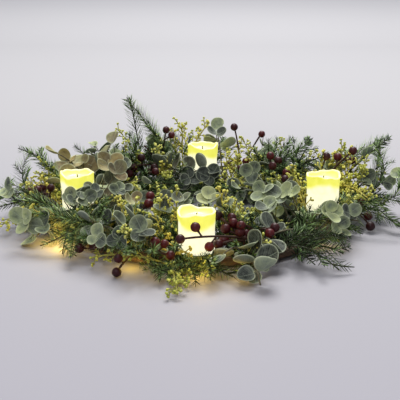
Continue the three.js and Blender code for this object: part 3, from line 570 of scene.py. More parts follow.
def seat_on(angle, section):
    """The place on the ring's bark at an angle and section, and the way out of the bark there."""
    wanted = polar(angle, RING_RADIUS + RING_HALF_WIDTH * math.cos(section * RAD),
                   RING_MIDDLE + RING_HALF_HEIGHT * math.sin(section * RAD))
    point = RING_POINTS[np.argmin(np.linalg.norm(RING_POINTS - wanted, axis=1))]
    out = point - polar(math.atan2(point[1], point[0]) / RAD, RING_RADIUS, RING_MIDDLE)
    out[2] *= (RING_HALF_WIDTH / RING_HALF_HEIGHT) ** 2
    return point, unit(out)


class CadNode:
    """A node of the frame, asked what lies near a place."""

    def __init__(self, name):
        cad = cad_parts[name]
        matrix = np.array(cad.matrix_world)
        raw = np.empty(len(cad.data.vertices) * 3)
        cad.data.vertices.foreach_get("co", raw)
        points = raw.reshape(-1, 3) @ matrix[:3, :3].T + matrix[:3, 3]
        self.points = (points - CENTRE) * MM_PER_METRE
        faces = [tuple(face.vertices) for face in cad.data.polygons]
        self.surface = BVHTree.FromPolygons(self.points.tolist(), faces)
        self.corners = KDTree(len(self.points))
        for k, p in enumerate(self.points):
            self.corners.insert(p, k)
        self.corners.balance()

    def misses(self, points):
        """How far the points lie from the node's surface, on average."""
        return float(np.mean([self.surface.find_nearest(p)[3] for p in points]))

    def corner(self, p):
        """The node's nearest vertex, and how far it is."""
        found, _, distance = self.corners.find(p)
        return np.array(found), distance


# The sprays of each kind: the angle and section of the seat, the arch, the size of what grows, and the
# angle, radius and height of each tip
SPRAYS = {
    "eucalyptus": {
        "front": ((289, 30), 26, 1, ((287, 268, 7), (279, 224, 34))),
        "right_front": ((340, 60), 12, 1, ((333, 212, 28), (351, 228, 16))),
        "inner_right": ((328, 130), 14, 0.95, ((346, 106, 52), (356, 134, 56))),
        "right_back": ((29, 40), 16, 0.9, ((10, 284, 62), (20, 258, 78))),
        "inner_back": ((104, 150), 16, 0.9, ((86, 122, 46), (98, 114, 36))),
        "back": ((79, 20), 22, 0.9, ((84, 224, 88), (92, 262, 20))),
        "back_left": ((154, 55), 14, 1, ((161, 230, 83), (138, 194, 86), (138, 258, 16))),
        "inner_left": ((158, 130), 14, 0.9, ((150, 146, 62), (170, 122, 45), (188, 106, 34))),
        "left": ((200, 71), 19, 0.85, ((194, 168, 60), (189, 270, 14), (204, 241, 12))),
        "front_left": ((232, 80), 16, 1, ((247, 176, 54), (239, 204, 32), (221, 190, 32))),
    },
    "berries": {
        "front_right": ((296, 90), 16, 1, ((288, 172, 54), (266, 226, 56), (297, 196, 48))),
        "right": ((17, 80), 12, 1, ((12, 188, 86), (15, 230, 90), (352, 242, 12))),
        "inner_right": ((46, 120), 10, 1, ((35, 128, 80), (15, 128, 58), (60, 136, 50))),
        "back_right": ((72, 50), 12, 1, ((76, 220, 90), (64, 210, 87), (80, 246, 26))),
        "back_left": ((108, 60), 8, 1, ((124, 164, 82), (109, 186, 92), (141, 140, 60))),
        "left": ((188, 40), 14, 1, ((181, 244, 46), (188, 226, 54))),
        "front_left": ((246, 30), 10, 1, ((227, 209, 18), (246, 234, 10), (260, 214, 28))),
    },
    "sprig": {
        "front_right": ((285, 140), 10, 1, ((292, 108, 62), (301, 124, 40))),
        "inner_right": ((344, 140), 10, 1, ((353, 138, 72), (5, 136, 60))),
        "right": ((10, 30), 14, 1, ((24, 240, 92), (9, 248, 70), (355, 242, 44))),
        "back_right": ((74, 130), 12, 1, ((68, 150, 66), (62, 168, 58))),
        "back": ((102, 20), 16, 1, ((99, 226, 98), (88, 232, 98))),
        "left": ((171, 30), 14, 1, ((166, 240, 64), (174, 266, 48), (192, 286, 9))),
        "front_left": ((251, 130), 12, 1, ((244, 98, 72), (267, 100, 64))),
        "front_low": ((260, 8), 10, 1, ((266, 288, 9), (264, 246, 5), (234, 229, 7))),
    },
    "fir": {
        "front_right": ((300, 40), 20, 1, ((317, 256, 18), (336, 194, 38), (311, 272, 7), (326, 238, 24))),
        "right": ((23, 20), 12, 1, ((15, 284, 106), (1, 298, 30), (350, 286, 12))),
        "back_right": ((60, 30), 18, 1, ((50, 280, 70), (56, 270, 80), (67, 270, 14), (40, 268, 34))),
        "inner_back_right": ((38, 90), 12, 1, ((32, 192, 88), (25, 180, 76), (52, 108, 36))),
        "back_left_tall": ((115, 40), 4, 1, ((122, 224, 150), (121, 238, 92), (108, 266, 18))),
        "back_left": ((136, 30), 14, 1, ((129, 222, 78), (152, 282, 62), (128, 274, 16))),
        "inner_back_left": ((128, 140), 10, 1, ((128, 104, 34), (112, 114, 34))),
        "left": ((164, 20), 8, 1, ((162, 284, 88), (174, 298, 28), (156, 284, 20))),
        "front_left": ((212, 80), 22, 1, ((187, 260, 36), (221, 234, 6), (216, 106, 38))),
        "front_low": ((273, 0), 8, 1, ((281, 238, 8), (262, 240, 7))),
        "low_right": ((324, 10), 6, 1, ((303, 212, 12), (345, 208, 20))),
        "low_left": ((232, 10), 10, 1, ((243, 210, 21), (210, 212, 14))),
        "inner_right": ((313, 130), 10, 1, ((318, 104, 36), (299, 116, 30), (334, 108, 30))),
    },
}


# How far, on average, a stem may lie from the CAD node, and how far a leaf's crown, the top of a
# berry and the tip of a twig may lie from its nearest vertex
STEM_MISS, LEAF_MISS, BERRY_MISS, TWIG_MISS = 2.2, 2.4, 1.8, 1.6
STEM_TESTS = np.array([0.3, 0.45, 0.6, 0.75, 0.9, 0.98])


def closest(trials, most):
    """A list of what the trial that misses least has made, or none where it misses by more than most."""
    miss, made = min(trials, key=lambda trial: trial[0])
    return [made] if miss < most else []


class Stem:
    def __init__(self, curve, radius, tip_radius, number=None):
        self.curve, self.radius, self.tip_radius, self.number = curve, radius, tip_radius, number
        self.twig = number is None


class Spray:
    """One spray: its stems, twigs, leaves and berries, where the CAD node has them."""

    def __init__(self, kind, name, seed, seat, arch, size, tips):
        self.kind, self.name, self.seed, self.size = kind, name, seed, size
        self.node = CadNode(name)
        self.branches, self.twigs, self.leaves, self.berries = [], [], [], []
        self.set_stems(seat, arch, tips)
        if self.kind == "eucalyptus":
            self.set_leaves()
        elif self.kind == "berries":
            self.set_berries()
        else:
            self.set_twigs()

    def set_stems(self, seat, arch, tips):
        point, out = seat_on(*seat)
        wanted = [(FORKS[i], i, place) for i, place in enumerate(tips)]
        for i, turn in enumerate(SHOOT_TURNS[self.kind]):
            place = (seat[0] + turn * (0.75 + 0.5 * noise(self.seed, i)),
                     RING_RADIUS + SHOOT_SWAY * (2 * noise(i + 1, self.seed) - 1),
                     SHOOT_RISE * (0.6 + 0.8 * noise(self.seed + i, 3)))
            wanted.append((SHOOT_FORKS[i], FIRST_SHOOT + i, place))
        for fork, number, place in wanted:
            tip = polar(*place)
            if number:
                start, height = self.branches[0].curve.at(fork), arch * 0.6
            else:
                away = unit((tip - point) / 2 + UP * arch)
                slant = math.sqrt(max(0.0, 1 - float(away @ out) ** 2))
                start, height = point + out * (SEAT_GAP + STEM_RADIUS * slant), arch
            ways = [branch_curve(start, tip, height, bend) for bend in BENDS]
            trials = [(self.node.misses(way.at(STEM_TESTS)), way) for way in ways]
            for way in closest(trials, STEM_MISS if number else math.inf):
                self.branches.append(Stem(way, STEM_RADIUS, 0.8 if self.kind == "fir" else 1.0, number))

    def set_leaves(self):
        seed = self.seed
        for stem in self.branches:
            b = stem.number
            count = max(1, min(3, math.floor(stem.curve.length / LEAF_PITCH + 0.5)))
            for k in range(2 * count + 1):
                pair = math.ceil(k / 2)
                part = 1 - 0.7 * pair / (count + 0.3)
                root, along = stem.curve.at(part), stem.curve.along(part)
                full = LEAF_RADIUS * self.size * (0.74 + 0.3 * noise(seed + b, k) + 0.14 * pair / count)
                trials = []
                for i in range(14):
                    roll = ((120 if k % 2 else 0) + 180 * (pair % 2) + 60 * noise(seed + pair, b)
                            + (0, 120, 240, 60, 180, 300, 30)[i % 7])
                    out = leaning(along, 12 + i if k == 0 else 74 + 14 * noise(k, seed), roll)
                    face = tilted(out, (noise(seed * 3 + b, k * 5) - 0.5) * 110 * RAD)
                    radius = full * (1 if i < 7 else 0.7)
                    sunk = face * (LEAF_THICKNESS / 2 - LEAF_DISH * radius)
                    found, miss = self.node.corner(root + out * (radius + PETIOLE + 0.6) + sunk)
                    trials.append((miss, (root, out, face, radius, found - sunk)))
                self.leaves += closest(trials, LEAF_MISS)

    def set_berries(self):
        seed = self.seed
        for stem in self.branches:
            b = stem.number
            spots = [(1, 5), (0.8, 15), (0.62, 16)] if stem.curve.length > 40 else [(1, 5), (0.7, 14)]
            for k, (part, reach) in enumerate(spots):
                root, along = stem.curve.at(part), stem.curve.along(part)
                radius = BERRY_RADIUS * self.size * (0.86 + 0.2 * noise(b, seed + part))
                trials = []
                for i in range(9):
                    out = leaning(along, i * 9 if k == 0 else 55, 360 * noise(seed + b, part * 7) + 40 * i)
                    middle = root + out * (reach + 2 if k == 0 else reach) * (0.8 if i > 5 else 1)
                    trials.append((self.node.corner(middle + out * radius)[1], (root, middle, radius)))
                self.berries += closest(trials, BERRY_MISS)

    def set_twigs(self):
        seed, fir = self.seed, self.kind == "fir"
        for stem in self.branches:
            b = stem.number
            pitch = FIR_TWIG_PITCH if fir else SPRIG_TWIG_PITCH
            most = 1 if b >= FIRST_SHOOT else 3 if fir else 4
            count = min(most, math.floor(stem.curve.length / pitch + 0.5))
            for k in range(count):
                part = 0.88 - 0.6 * (k + 0.3 * noise(seed + b, k)) / max(1, count)
                root, along = stem.curve.at(part), stem.curve.along(part)
                reach = (36 if fir else 22) * self.size * (0.75 + 0.5 * noise(b + 3, seed + k))
                trials = []
                for i in range(8):
                    roll = (180 if k % 2 else 0) + 60 * (noise(seed + k, b) - 0.3) + 45 * i
                    tip = root + leaning(along, 44 if fir else 38, roll) * reach * (0.75 if i > 3 else 1)
                    way = Curve(root, (root + tip) / 2 + along * reach * 0.08, tip)
                    trials.append((self.node.corner(tip)[1], way))
                self.twigs += [Stem(way, *((1.1, 0.7) if fir else (0.8, 0.6)))
                               for way in closest(trials, TWIG_MISS)]


# Fine forms
CUP_BASE = 2 * RING_MIDDLE + SEAT_GAP
CUP_FLOOR = 2
WAX_BASE = CUP_BASE + CUP_FLOOR + SEAT_GAP
CANDLE_AXES = {side: polar(90 * k, RING_RADIUS, 0) for k, side in enumerate(SIDES)}
# What stays free of foliage: round a candle's axis, up to this height of its wax, and on the table
CANDLE_MARGIN, CANDLE_REACH, TABLE_MARGIN = 29.8, 60, 0.4


def clear_of_candles(points, margin=CANDLE_MARGIN):
    """Which of the points lie outside every candle and above the table."""
    height = points[:, 2]
    clear = height > TABLE_MARGIN
    for axis in CANDLE_AXES.values():
        apart = np.hypot(points[:, 0] - axis[0], points[:, 1] - axis[1])
        clear &= (apart > margin) | (height > WAX_BASE + CANDLE_REACH) | (height < CUP_BASE - 1)
    return clear


# How much the tones of needles and leaves vary
TONE_SPREAD = 0.28


def varied(rng, level, spread=TONE_SPREAD):
    """A tone from 0 to 1 round a level."""
    return float(np.clip(level + rng.normal(0, spread), 0, 1))


def stem_tube(builder, stem, sides, warm=0.0):
    t = np.linspace(0, 1, max(4, int(stem.curve.length / 5)))
    radii = stem.radius + (stem.tip_radius - stem.radius) * t
    rough = 1 + 0.08 * np.sin(9 * t + stem.curve.length)
    builder.add(*tube(stem.curve.at(t), radii * rough, sides), 0.5, 1.0, warm)


NEEDLE_LENGTH = 17.0
NEEDLE_HALF_WIDTH = 0.95
NEEDLE_HALF_DEPTH = 0.42
NEEDLE_STEP = 3.6
# The faces of a needle with a bend at its middle, and of a plain one
FINE_NEEDLE = np.array([[0, 2, 1], [0, 1, 4], [0, 4, 3], [1, 2, 5], [1, 5, 4], [2, 0, 3], [2, 3, 5],
                        [3, 4, 6], [4, 5, 6], [5, 3, 6]])[:, ::-1]
PLAIN_NEEDLE = np.array([[0, 2, 1], [0, 1, 3], [1, 2, 3], [2, 0, 3]])[:, ::-1]
# On the right of the front the floor shows between the needles of stems that reach out this far
OPEN_ANGLES, OPEN_RADIUS, OPEN_STEP = (294, 334), 196, 5.0
# Where needles stand round a stem: to its two sides, and on top
NEEDLE_ROLLS, TOP = [14.0, 166.0, 90.0], 90


def needles_on(builder, stem, start, rng, level, step=NEEDLE_STEP, fine=True, growth=1.0):
    """Flat pointed needles along a stem: most to its two sides, some on top."""
    curve = stem.curve
    angle = math.degrees(math.atan2(curve.c[1], curve.c[0])) % 360
    opened = OPEN_ANGLES[0] < angle < OPEN_ANGLES[1] and np.hypot(curve.c[0], curve.c[1]) > OPEN_RADIUS
    if opened:
        step, level = OPEN_STEP, 0.5 * level
    count = int((curve.length - start) / step)
    if count < 2:
        return
    base = (start + step * np.arange(count)) / curve.length
    t = np.repeat(np.clip(base, 0, 0.995), 3)
    spot = np.tile(NEEDLE_ROLLS, count)
    top_every = 2 if growth == 1 else 3
    kept = (spot != TOP) | (np.arange(3 * count) // 3 % top_every == 0) & (not opened)
    t, spot = t[kept], spot[kept]
    m = len(t)
    t = np.clip(t + rng.uniform(-0.2, 0.2, m) * step / curve.length, 0, 1)
    roll = np.radians(spot + rng.normal(0, 1, m) * np.where(spot == TOP, 50, 16))
    lean = np.radians(rng.uniform(38, 52, m) * np.where(t > 0.93, 0.62, 1.0))
    shorter = np.clip(0.42 + (1 - t) * curve.length / 55, 0.42, 1.0)
    length = growth * NEEDLE_LENGTH * rng.uniform(0.84, 1.08, m) * shorter
    along = curve.along(t)
    # The flat of the spray is turned up, outward and to the front
    facing = UP * 0.5 + BACKWARD * 0.8 + unit(curve.at(0.6) * (1, 1, 0)) * 0.3
    side = unit(np.cross(facing, along))
    up = np.cross(along, side)
    radial = side * np.cos(roll)[:, None] + up * np.sin(roll)[:, None]
    out = along * np.cos(lean)[:, None] + radial * np.sin(lean)[:, None]
    root = curve.at(t) + radial * (stem.radius * 0.4)
    flat = unit(np.cross(out, radial))
    thick = np.cross(out, flat)
    bow = radial * (length * rng.uniform(-0.10, 0.03, m))[:, None]
    middle = root + out * (length * 0.5)[:, None] - bow * 0.35
    tip = root + out * length[:, None] + bow
    tip[:, 2] = np.maximum(tip[:, 2], 0.6)
    middle[:, 2] = np.maximum(middle[:, 2], 0.9)
    keep = clear_of_candles(tip) & clear_of_candles(middle)
    rings = []
    for centre, scale in ((root, 0.75), (middle, 1.0)) if fine else ((root, 1.1),):
        w = flat * (NEEDLE_HALF_WIDTH * scale)
        rings += [centre + w, centre - w, centre + thick * (NEEDLE_HALF_DEPTH * scale)]
    points = np.stack(rings + [tip], axis=1)[keep]
    n, corners = points.shape[:2]
    shape = FINE_NEEDLE if fine else PLAIN_NEEDLE
    faces = (shape[None] + corners * np.arange(n)[:, None, None]).reshape(-1, 3)
    # Painted shade: needles nearer the stem's root, deep inside the spray, get a darker tone
    root_shade = 0.45 * (t[keep] - 0.7)
    tone = np.repeat(np.clip(level + root_shade + rng.normal(0, TONE_SPREAD, n), 0, 1), corners)
    where = np.zeros((n * corners, 3))
    where[:, 0] = np.tile([0, 0, 0, 0.4, 0.4, 0.4, 1.0] if fine else [0, 0, 0, 1.0], n)
    builder.add(points.reshape(-1, 3), [faces], tone, 0.0, 0.0, where)


# A leaf's rows of vertices, as parts of its radius, its columns, and half its thickness
LEAF_ROWS = np.array([0.15, 0.4, 0.66, 0.86, 0.95, 1.0])
LEAF_COLUMNS = 20
LEAF_HALF = 0.25
PETIOLE_RADII = [0.8, 0.6, 0.45]


def leaf(builder, base, middle, out, face, radius, rng, tone, warm):
    """A round cupped leaf with a waved rim, a crease along its midrib and a stalk."""
    side = np.cross(face, out)
    r, a = np.meshgrid(LEAF_ROWS, circle(LEAF_COLUMNS), indexing="ij")
    wave, fold, phase = rng.uniform(0.04, 0.14), rng.uniform(-0.05, 0.38), rng.uniform(0, 6.3)
    outline = 1 + 0.025 * np.cos(3 * a + phase) - 0.05 * np.exp(-((a - np.pi) / 0.35) ** 2)
    x, y = r * outline * np.sin(a), r * outline * np.cos(a)
    z = (-LEAF_DISH * (1 - r ** 2) + wave * r ** 2 * np.sin(2 * a + phase) + fold * (np.abs(x) - 0.35) * r
         - 0.02 * np.exp(-(x / 0.12) ** 2) * (1 - 0.6 * r))
    z0 = z[0].mean() - 0.01
    flat = np.stack([x, y, z], axis=-1).reshape(-1, 3) * radius
    layers, n = [], r.size
    for offset in (LEAF_HALF, -LEAF_HALF):
        points = middle + flat[:, :1] * side + flat[:, 1:2] * out + (flat[:, 2:] + offset) * face
        layers += [points, [middle + face * (z0 * radius + offset)]]
    rows = grid_faces(len(LEAF_ROWS), LEAF_COLUMNS)
    first = np.arange(LEAF_COLUMNS)
    rim = np.arange(n - LEAF_COLUMNS, n)
    after = np.roll(rim, -1)
    edge = np.stack([rim, rim + n + 1, after + n + 1, after], axis=-1)
    faces = [rows[:, ::-1], fan(n, first), rows + n + 1, fan(2 * n + 1, first + n + 1, True), edge]
    where = np.zeros((2 * n + 2, 3))
    where[:n, 0], where[:n, 1] = (r * np.sin(a)).ravel(), (r * np.cos(a)).ravel()
    where[n + 1:2 * n + 1, :2] = where[:n, :2]
    where[:n + 1, 2], where[n + 1:, 2] = 1.0, -1.0
    builder.add(np.concatenate(layers), faces, tone, 0.0, warm, where)
    near = middle - out * radius * 0.93 + face * (-LEAF_DISH * 0.1 * radius)
    builder.add(*tube([base, (base + near) / 2 - face * 0.3, near], PETIOLE_RADII, 5), tone, 0.6, warm)


# The height of the lamp in a candle, how far its light is seen on leaves, and over what length it fades
LAMP_HEIGHT, LAMP_REACH, LAMP_FADE = 50, 62, 26


def warmth(p):
    """How much a candle shines through a thing at p: a lot within a finger's width of its wax."""
    nearest = min(np.linalg.norm(p - axis - UP * LAMP_HEIGHT) for axis in CANDLE_AXES.values())
    return float(np.clip((LAMP_REACH - nearest) / LAMP_FADE, 0, 1))


def berry(builder, path, foot, middle, axis, radius, rng):
    """A knobbly berry on its stalk."""
    builder.add(*tube(path, [foot, 1.3, 1.2, 1.2, 1.5, 2.3], 7), 0.4, 1.0)
    tone = varied(rng, 0.45, 0.22)
    points, faces, where = ball(middle, axis, radius, 18, 11, 0.018)
    builder.add(points, faces, tone, 0.0, 0.0, where)


def sprout(builder, root, along, reach, rng, tone, warm, beads):
    """A tiny forked branchlet that ends in beads."""
    tip = root + along * reach
    builder.add(*tube([root, (root + tip) / 2 + UP * 0.3, tip], [0.85, 0.75, 0.65], 5), tone, 1.0, warm)
    for k in range(beads):
        out = leaning(along, 12 + 40 * (k > 0), 360 * rng.random())
        end = tip + out * reach * rng.uniform(0.28, 0.5)
        points, faces, where = ball(end, out, rng.uniform(1.1, 2.0), 6, 2)
        builder.add(*tube([tip, end], [0.55, 0.5], 4), tone, 1.0, warm)
        builder.add(points, faces, varied(rng, tone, 0.2), 0.0, warm, where)


def sprouts_on(builder, curve, rng, tone, warm, start, step, leans, reaches, beads, margin=CANDLE_MARGIN):
    """Branchlets that wind round a stem, and one at its end."""
    for k in range(int((curve.length - start) / step)):
        part = (start + step * (k + rng.uniform(-0.3, 0.3))) / curve.length
        out = leaning(curve.along(part), rng.uniform(*leans), math.degrees(k * GOLDEN) + 30 * rng.random())
        root = curve.at(part)
        reach = rng.uniform(*reaches)
        if clear_of_candles((root + out * reach * 1.5)[None], margin)[0]:
            sprout(builder, root, out, reach, rng, tone, warm, beads)
    sprout(builder, curve.at(0.97), curve.along(0.97), 3.0, rng, tone, warm, 4)


# Leaves that candle light turns golden, and leaves in the shade
GOLDEN_LEAVES = ("eucalyptus_back_left", "eucalyptus_inner_left")
DARK_LEAVES = ("eucalyptus_front", "eucalyptus_inner_back")


def dress_fir(builder, spray, rng):
    level = 0.28 + 0.34 * noise(spray.seed, 3.7)
    growth = 1.3 if "tall" in spray.name else 1
    for i, stem in enumerate(spray.branches + spray.twigs):
        stem_tube(builder, stem, 6)
        needles_on(builder, stem, 16 if i == 0 else 4, rng, level, growth=growth)


def dress_eucalyptus(builder, spray, rng):
    gold = 0.75 if spray.name in GOLDEN_LEAVES else 0.3
    level = 0.1 if spray.name in DARK_LEAVES else 0.3 + 0.4 * noise(spray.seed, 9.1)
    for stem in spray.branches:
        stem_tube(builder, stem, 7)
    for root, out, face, radius, middle in spray.leaves:
        tone = varied(rng, level)
        warm = gold * max(warmth(middle), 0.8 * (gold > 0.5 and rng.random() < 0.6)) * rng.uniform(0.4, 1.0)
        leaf(builder, root, middle, out, face, radius, rng, tone, warm)


def dress_berries(builder, spray, rng):
    for stem in spray.branches:
        stem_tube(builder, Stem(stem.curve, stem.radius * 1.15, 1.3), 8)
    for root, middle, radius in spray.berries:
        axis = unit(middle - root)
        start = middle - axis * radius
        bow = unit(np.cross(axis, UP)) * np.linalg.norm(start - root) * 0.06 * rng.uniform(-1, 1)
        t = np.linspace(0, 1, 6)[:, None]
        path = root + (start + axis * 0.6 - root) * t + bow * np.sin(np.pi * t)
        berry(builder, path, 1.5, middle, axis, radius * 1.08, rng)
        builder.add(*ball(middle + axis * radius * 1.08, axis, 0.7, 6, 3)[:2], 0.0, 1.0)


def dress_sprig(builder, spray, rng):
    level = 0.35 + 0.4 * noise(spray.seed, 5.3)
    for stem in spray.branches + spray.twigs:
        warm = 0.55 * warmth(stem.curve.at(0.7))
        stem_tube(builder, stem, 6, warm)
        start, step, reaches, beads = (4, 3.4, (3.2, 6.4), 3) if stem.twig else (20, 5.5, (5.2, 10.4), 4)
        sprouts_on(builder, stem.curve, rng, level, warm, start, step, (32, 55), reaches, beads)


# How each kind is dressed: by what function, from which seed on, and what its piece is called
DRESSES = {
    "fir": (dress_fir, 100, "needles"),
    "eucalyptus": (dress_eucalyptus, 200, "leaves"),
    "berries": (dress_berries, 300, "cluster"),
    "sprig": (dress_sprig, 400, "beads"),
}
# The spots of berries, leaves and clusters that the filling must not hide from the front. A spot's radius
# is in pixels of the photo for a berry, and in pixels for each millimetre of a leaf or cluster
BERRY_SPOT, LEAF_SPOT, CLUSTER_SPOT = 7.5, 0.45, 0.9


def dress_sprays():
    """Makes a piece of each spray, and lists the places and spots of its berries and leaves."""
    number, shown = 0, []
    for kind, places in SPRAYS.items():
        dress, seed, label = DRESSES[kind]
        for place, facts in places.items():
            number += 1
            name = f"{kind}_{place}"
            spray = Spray(kind, name, number, *facts)
            builder = Builder()
            dress(builder, spray, np.random.default_rng(seed + number))
            builder.piece(f"{name}_{label}", kind, name)
            shown += [[*middle, BERRY_SPOT] for _, middle, _ in spray.berries]
            shown += [[*middle, LEAF_SPOT * radius] for _, _, _, radius, middle in spray.leaves]
    return shown


# Filling: short twigs, leaves and sprigs that stand close together all round the ring
CAMERA_PLACE = (np.array(camera.location) - CENTRE) * MM_PER_METRE
TILT = CAMERA_ELEVATION + CAMERA_EXTRA_TILT
RIGHTWARD = np.array([math.cos(CAMERA_TURN), math.sin(CAMERA_TURN), 0.0])
FORWARD = -BACKWARD * math.cos(TILT) - UP * math.sin(TILT)
UPWARD = -BACKWARD * math.sin(TILT) + UP * math.cos(TILT)
BOX_LOW, BOX_HIGH = (np.array(CAD_BOX) - CENTRE) * MM_PER_METRE
BOX_MARGIN = 4
# Half the side of the square in the wreath's hole that stays open
OPEN_HALF = 64
# Where the photo shows the candles above the foliage, in its pixels: left, top, right and low
WINDOWS = {"front": (175, 198, 218, 244), "back": (185, 132, 220, 166), "left": (58, 160, 95, 186),
           "right": (303, 163, 341, 202)}
# How far the wreath reaches on the table: angle and radius
REACHES = np.array((
    (0, 285), (18, 290), (30, 262), (48, 232), (70, 248), (90, 262), (130, 270), (160, 280), (190, 272),
    (201, 252), (205, 215), (212, 202), (224, 205), (237, 215), (249, 240), (259, 262), (265, 268),
    (271, 262), (279, 240), (288, 246), (296, 215), (301, 206), (317, 215), (331, 196), (336, 215),
    (345, 255), (349, 280), (360, 285)))
# Rows of filling round the ring: the section they leave it at, their reach, and how many there are
FIR_ROWS = ((-12, 70, 36), (8, 80, 36), (28, 78, 34), (50, 74, 32), (74, 62, 30), (98, 58, 28),
            (120, 64, 28), (142, 66, 26), (164, 64, 26), (186, 58, 24), (200, 50, 20))
LEAF_FILL_ROWS = ((10, 74, 7), (60, 70, 9), (105, 62, 9), (145, 62, 9), (175, 60, 8))
SPRIG_ROWS = ((15, 84, 14), (50, 82, 18), (82, 76, 18), (112, 72, 16), (140, 68, 14), (165, 62, 12))
# The tips of sprigs: angle, radius and height
SPRIG_TIPS = (
    (22, 246, 92), (14, 236, 90), (18, 256, 66), (8, 246, 72), (3, 250, 52), (12, 272, 44), (6, 228, 46),
    (352, 218, 56), (8, 222, 64), (0, 240, 30), (16, 286, 62), (26, 232, 80), (28, 156, 66), (12, 148, 64),
    (356, 148, 54), (2, 132, 44), (340, 140, 56), (20, 138, 60), (78, 190, 64), (74, 160, 66), (72, 194, 54),
    (86, 150, 56), (60, 140, 62), (300, 116, 60), (292, 120, 70), (294, 132, 64), (285, 130, 72),
    (296, 140, 52), (244, 122, 60), (254, 130, 72), (248, 112, 56), (170, 246, 62), (162, 244, 44),
    (174, 258, 56), (186, 226, 74), (98, 234, 92), (104, 214, 94), (92, 226, 96), (258, 134, 92),
    (268, 126, 88), (272, 140, 100), (282, 138, 92), (262, 144, 84), (286, 128, 84), (250, 140, 80),
    (80, 176, 66), (84, 200, 74), (72, 206, 78), (24, 224, 84), (17, 232, 78), (10, 224, 60), (20, 262, 78),
    (226, 150, 70), (232, 162, 66), (238, 152, 74), (112, 150, 62), (118, 132, 60), (150, 140, 60),
    (196, 262, 40), (192, 248, 54), (182, 250, 60), (200, 244, 46), (178, 222, 66))
# Leaf clusters: angle, radius and height, how many leaves, their size and tone, and how warm they are lit
CLUSTERS = (
    (329, 207, 50, 4, 10.5, 0.85, 0), (336, 224, 45, 2, 10, 0.45, 0), (329, 218, 34, 2, 9, 0.6, 0),
    (316, 120, 72, 3, 11, 0.7, 0), (321, 142, 68, 3, 11, 0.85, 0), (309, 147, 60, 3, 10.5, 0.6, 0),
    (332, 144, 66, 2, 9, 0.8, 0), (100, 115, 36, 3, 11, 0.02, 0), (84, 117, 37, 3, 11, 0.0, 0),
    (206, 190, 61, 3, 8.5, 0.5, 0), (207, 174, 59, 3, 9, 0.65, 0), (204, 155, 63, 2, 8, 0.4, 0),
    (206, 260, 40, 3, 11, 0.85, 0), (210, 240, 34, 3, 11.5, 0.8, 0), (251, 207, 52, 3, 12.5, 0.25, 0),
    (244, 220, 42, 3, 10, 0.35, 0), (236, 224, 40, 3, 9, 0.65, 0), (208, 127, 66, 3, 8, 0.6, 0),
    (224, 125, 60, 2, 10, 0.75, 0.6), (11, 246, 56, 4, 11, 0.55, 0), (11, 282, 48, 3, 10, 0.5, 0),
    (189, 273, 60, 3, 11, 0.6, 0), (39, 100, 60, 3, 10, 0.5, 0), (84, 216, 84, 2, 10, 0.4, 0),
    (158, 219, 72, 2, 12, 0.6, 0.9), (158, 194, 70, 2, 9.5, 0.6, 0.8), (166, 142, 80, 3, 12, 0.55, 0.8),
    (174, 124, 72, 3, 10, 0.45, 0.5), (262, 140, 74, 3, 9, 0.75, 0.1), (276, 136, 76, 3, 9, 0.8, 0.2),
    (285, 140, 66, 3, 9, 0.5, 0), (252, 140, 62, 3, 9, 0.4, 0))
# Long fir fronds: the angle where they leave the ring, and the angle, radius and height of their tips
FROND_TIPS = (
    (102, 124, 208, 143), (103, 123, 198, 136), (104, 120, 184, 122), (137, 131, 146, 104),
    (146, 142, 170, 92), (130, 128, 189, 98), (39, 45, 207, 92), (43, 39, 203, 92), (41, 41, 162, 84),
    (162, 166, 272, 92), (172, 172, 235, 80), (29, 25, 295, 86), (33, 33, 354, 84), (52, 52, 171, 96),
    (354, 346, 285, 20), (226, 226, 238, 8), (298, 318, 262, 34), (296, 311, 268, 14), (300, 325, 238, 26),
    (294, 272, 126, 70), (310, 312, 275, 8), (245, 268, 128, 72), (348, 348, 260, 44), (201, 207, 255, 12),
    (238, 216, 226, 44), (230, 206, 258, 46), (222, 199, 268, 34), (196, 190, 268, 70),
    (246, 236, 226, 24), (252, 244, 232, 34), (207, 230, 248, 14))
# Fronds that turn up at the sides: the angle where they leave the ring, their bend and their tip
ARCHED_FRONDS = ((184, (177, 296, 38), (174, 250, 100)), (4, (2, 304, 44), (12, 262, 110)),
                 (356, (352, 304, 40), (359, 286, 82)), (10, (12, 300, 60), (20, 285, 104)),
                 (188, (184, 300, 30), (181, 272, 66)))
# More berries: where their stem leaves the ring, its hub, and each berry, as angle, radius and height
BERRY_GROUPS = (
    ((294, 100), (289, 186, 34), ((280, 153, 60), (282, 176, 49), (287, 186, 46), (278, 199, 37),
                                  (281, 183, 36), (286, 163, 59), (291, 176, 40))),
    ((134, 110), (131, 160, 34), ((132, 161, 51), (122, 141, 51), (126, 122, 50), (139, 150, 46))),
    ((226, 150), (226, 116, 40), ((225, 95, 60), (229, 103, 50), (233, 112, 56))),
)
SHOWN = np.array(dress_sprays()
                 + [[*polar(*place), BERRY_SPOT] for _, _, places in BERRY_GROUPS for place in places]
                 + [[*polar(*cluster[:3]), CLUSTER_SPOT * cluster[4]] for cluster in CLUSTERS])


def seen_at(points):
    """Where points are seen from the front, in pixels, and how far away."""
    ray = np.asarray(points) - CAMERA_PLACE
    depth = ray @ FORWARD
    return (FRAME_PIXELS / 2 + FOCAL_PIXELS * (ray @ RIGHTWARD) / depth,
            FRAME_PIXELS / 2 - FOCAL_PIXELS * (ray @ UPWARD) / depth, depth)


SHOWN_X, SHOWN_Y, SHOWN_DEPTH = seen_at(SHOWN[:, :3])


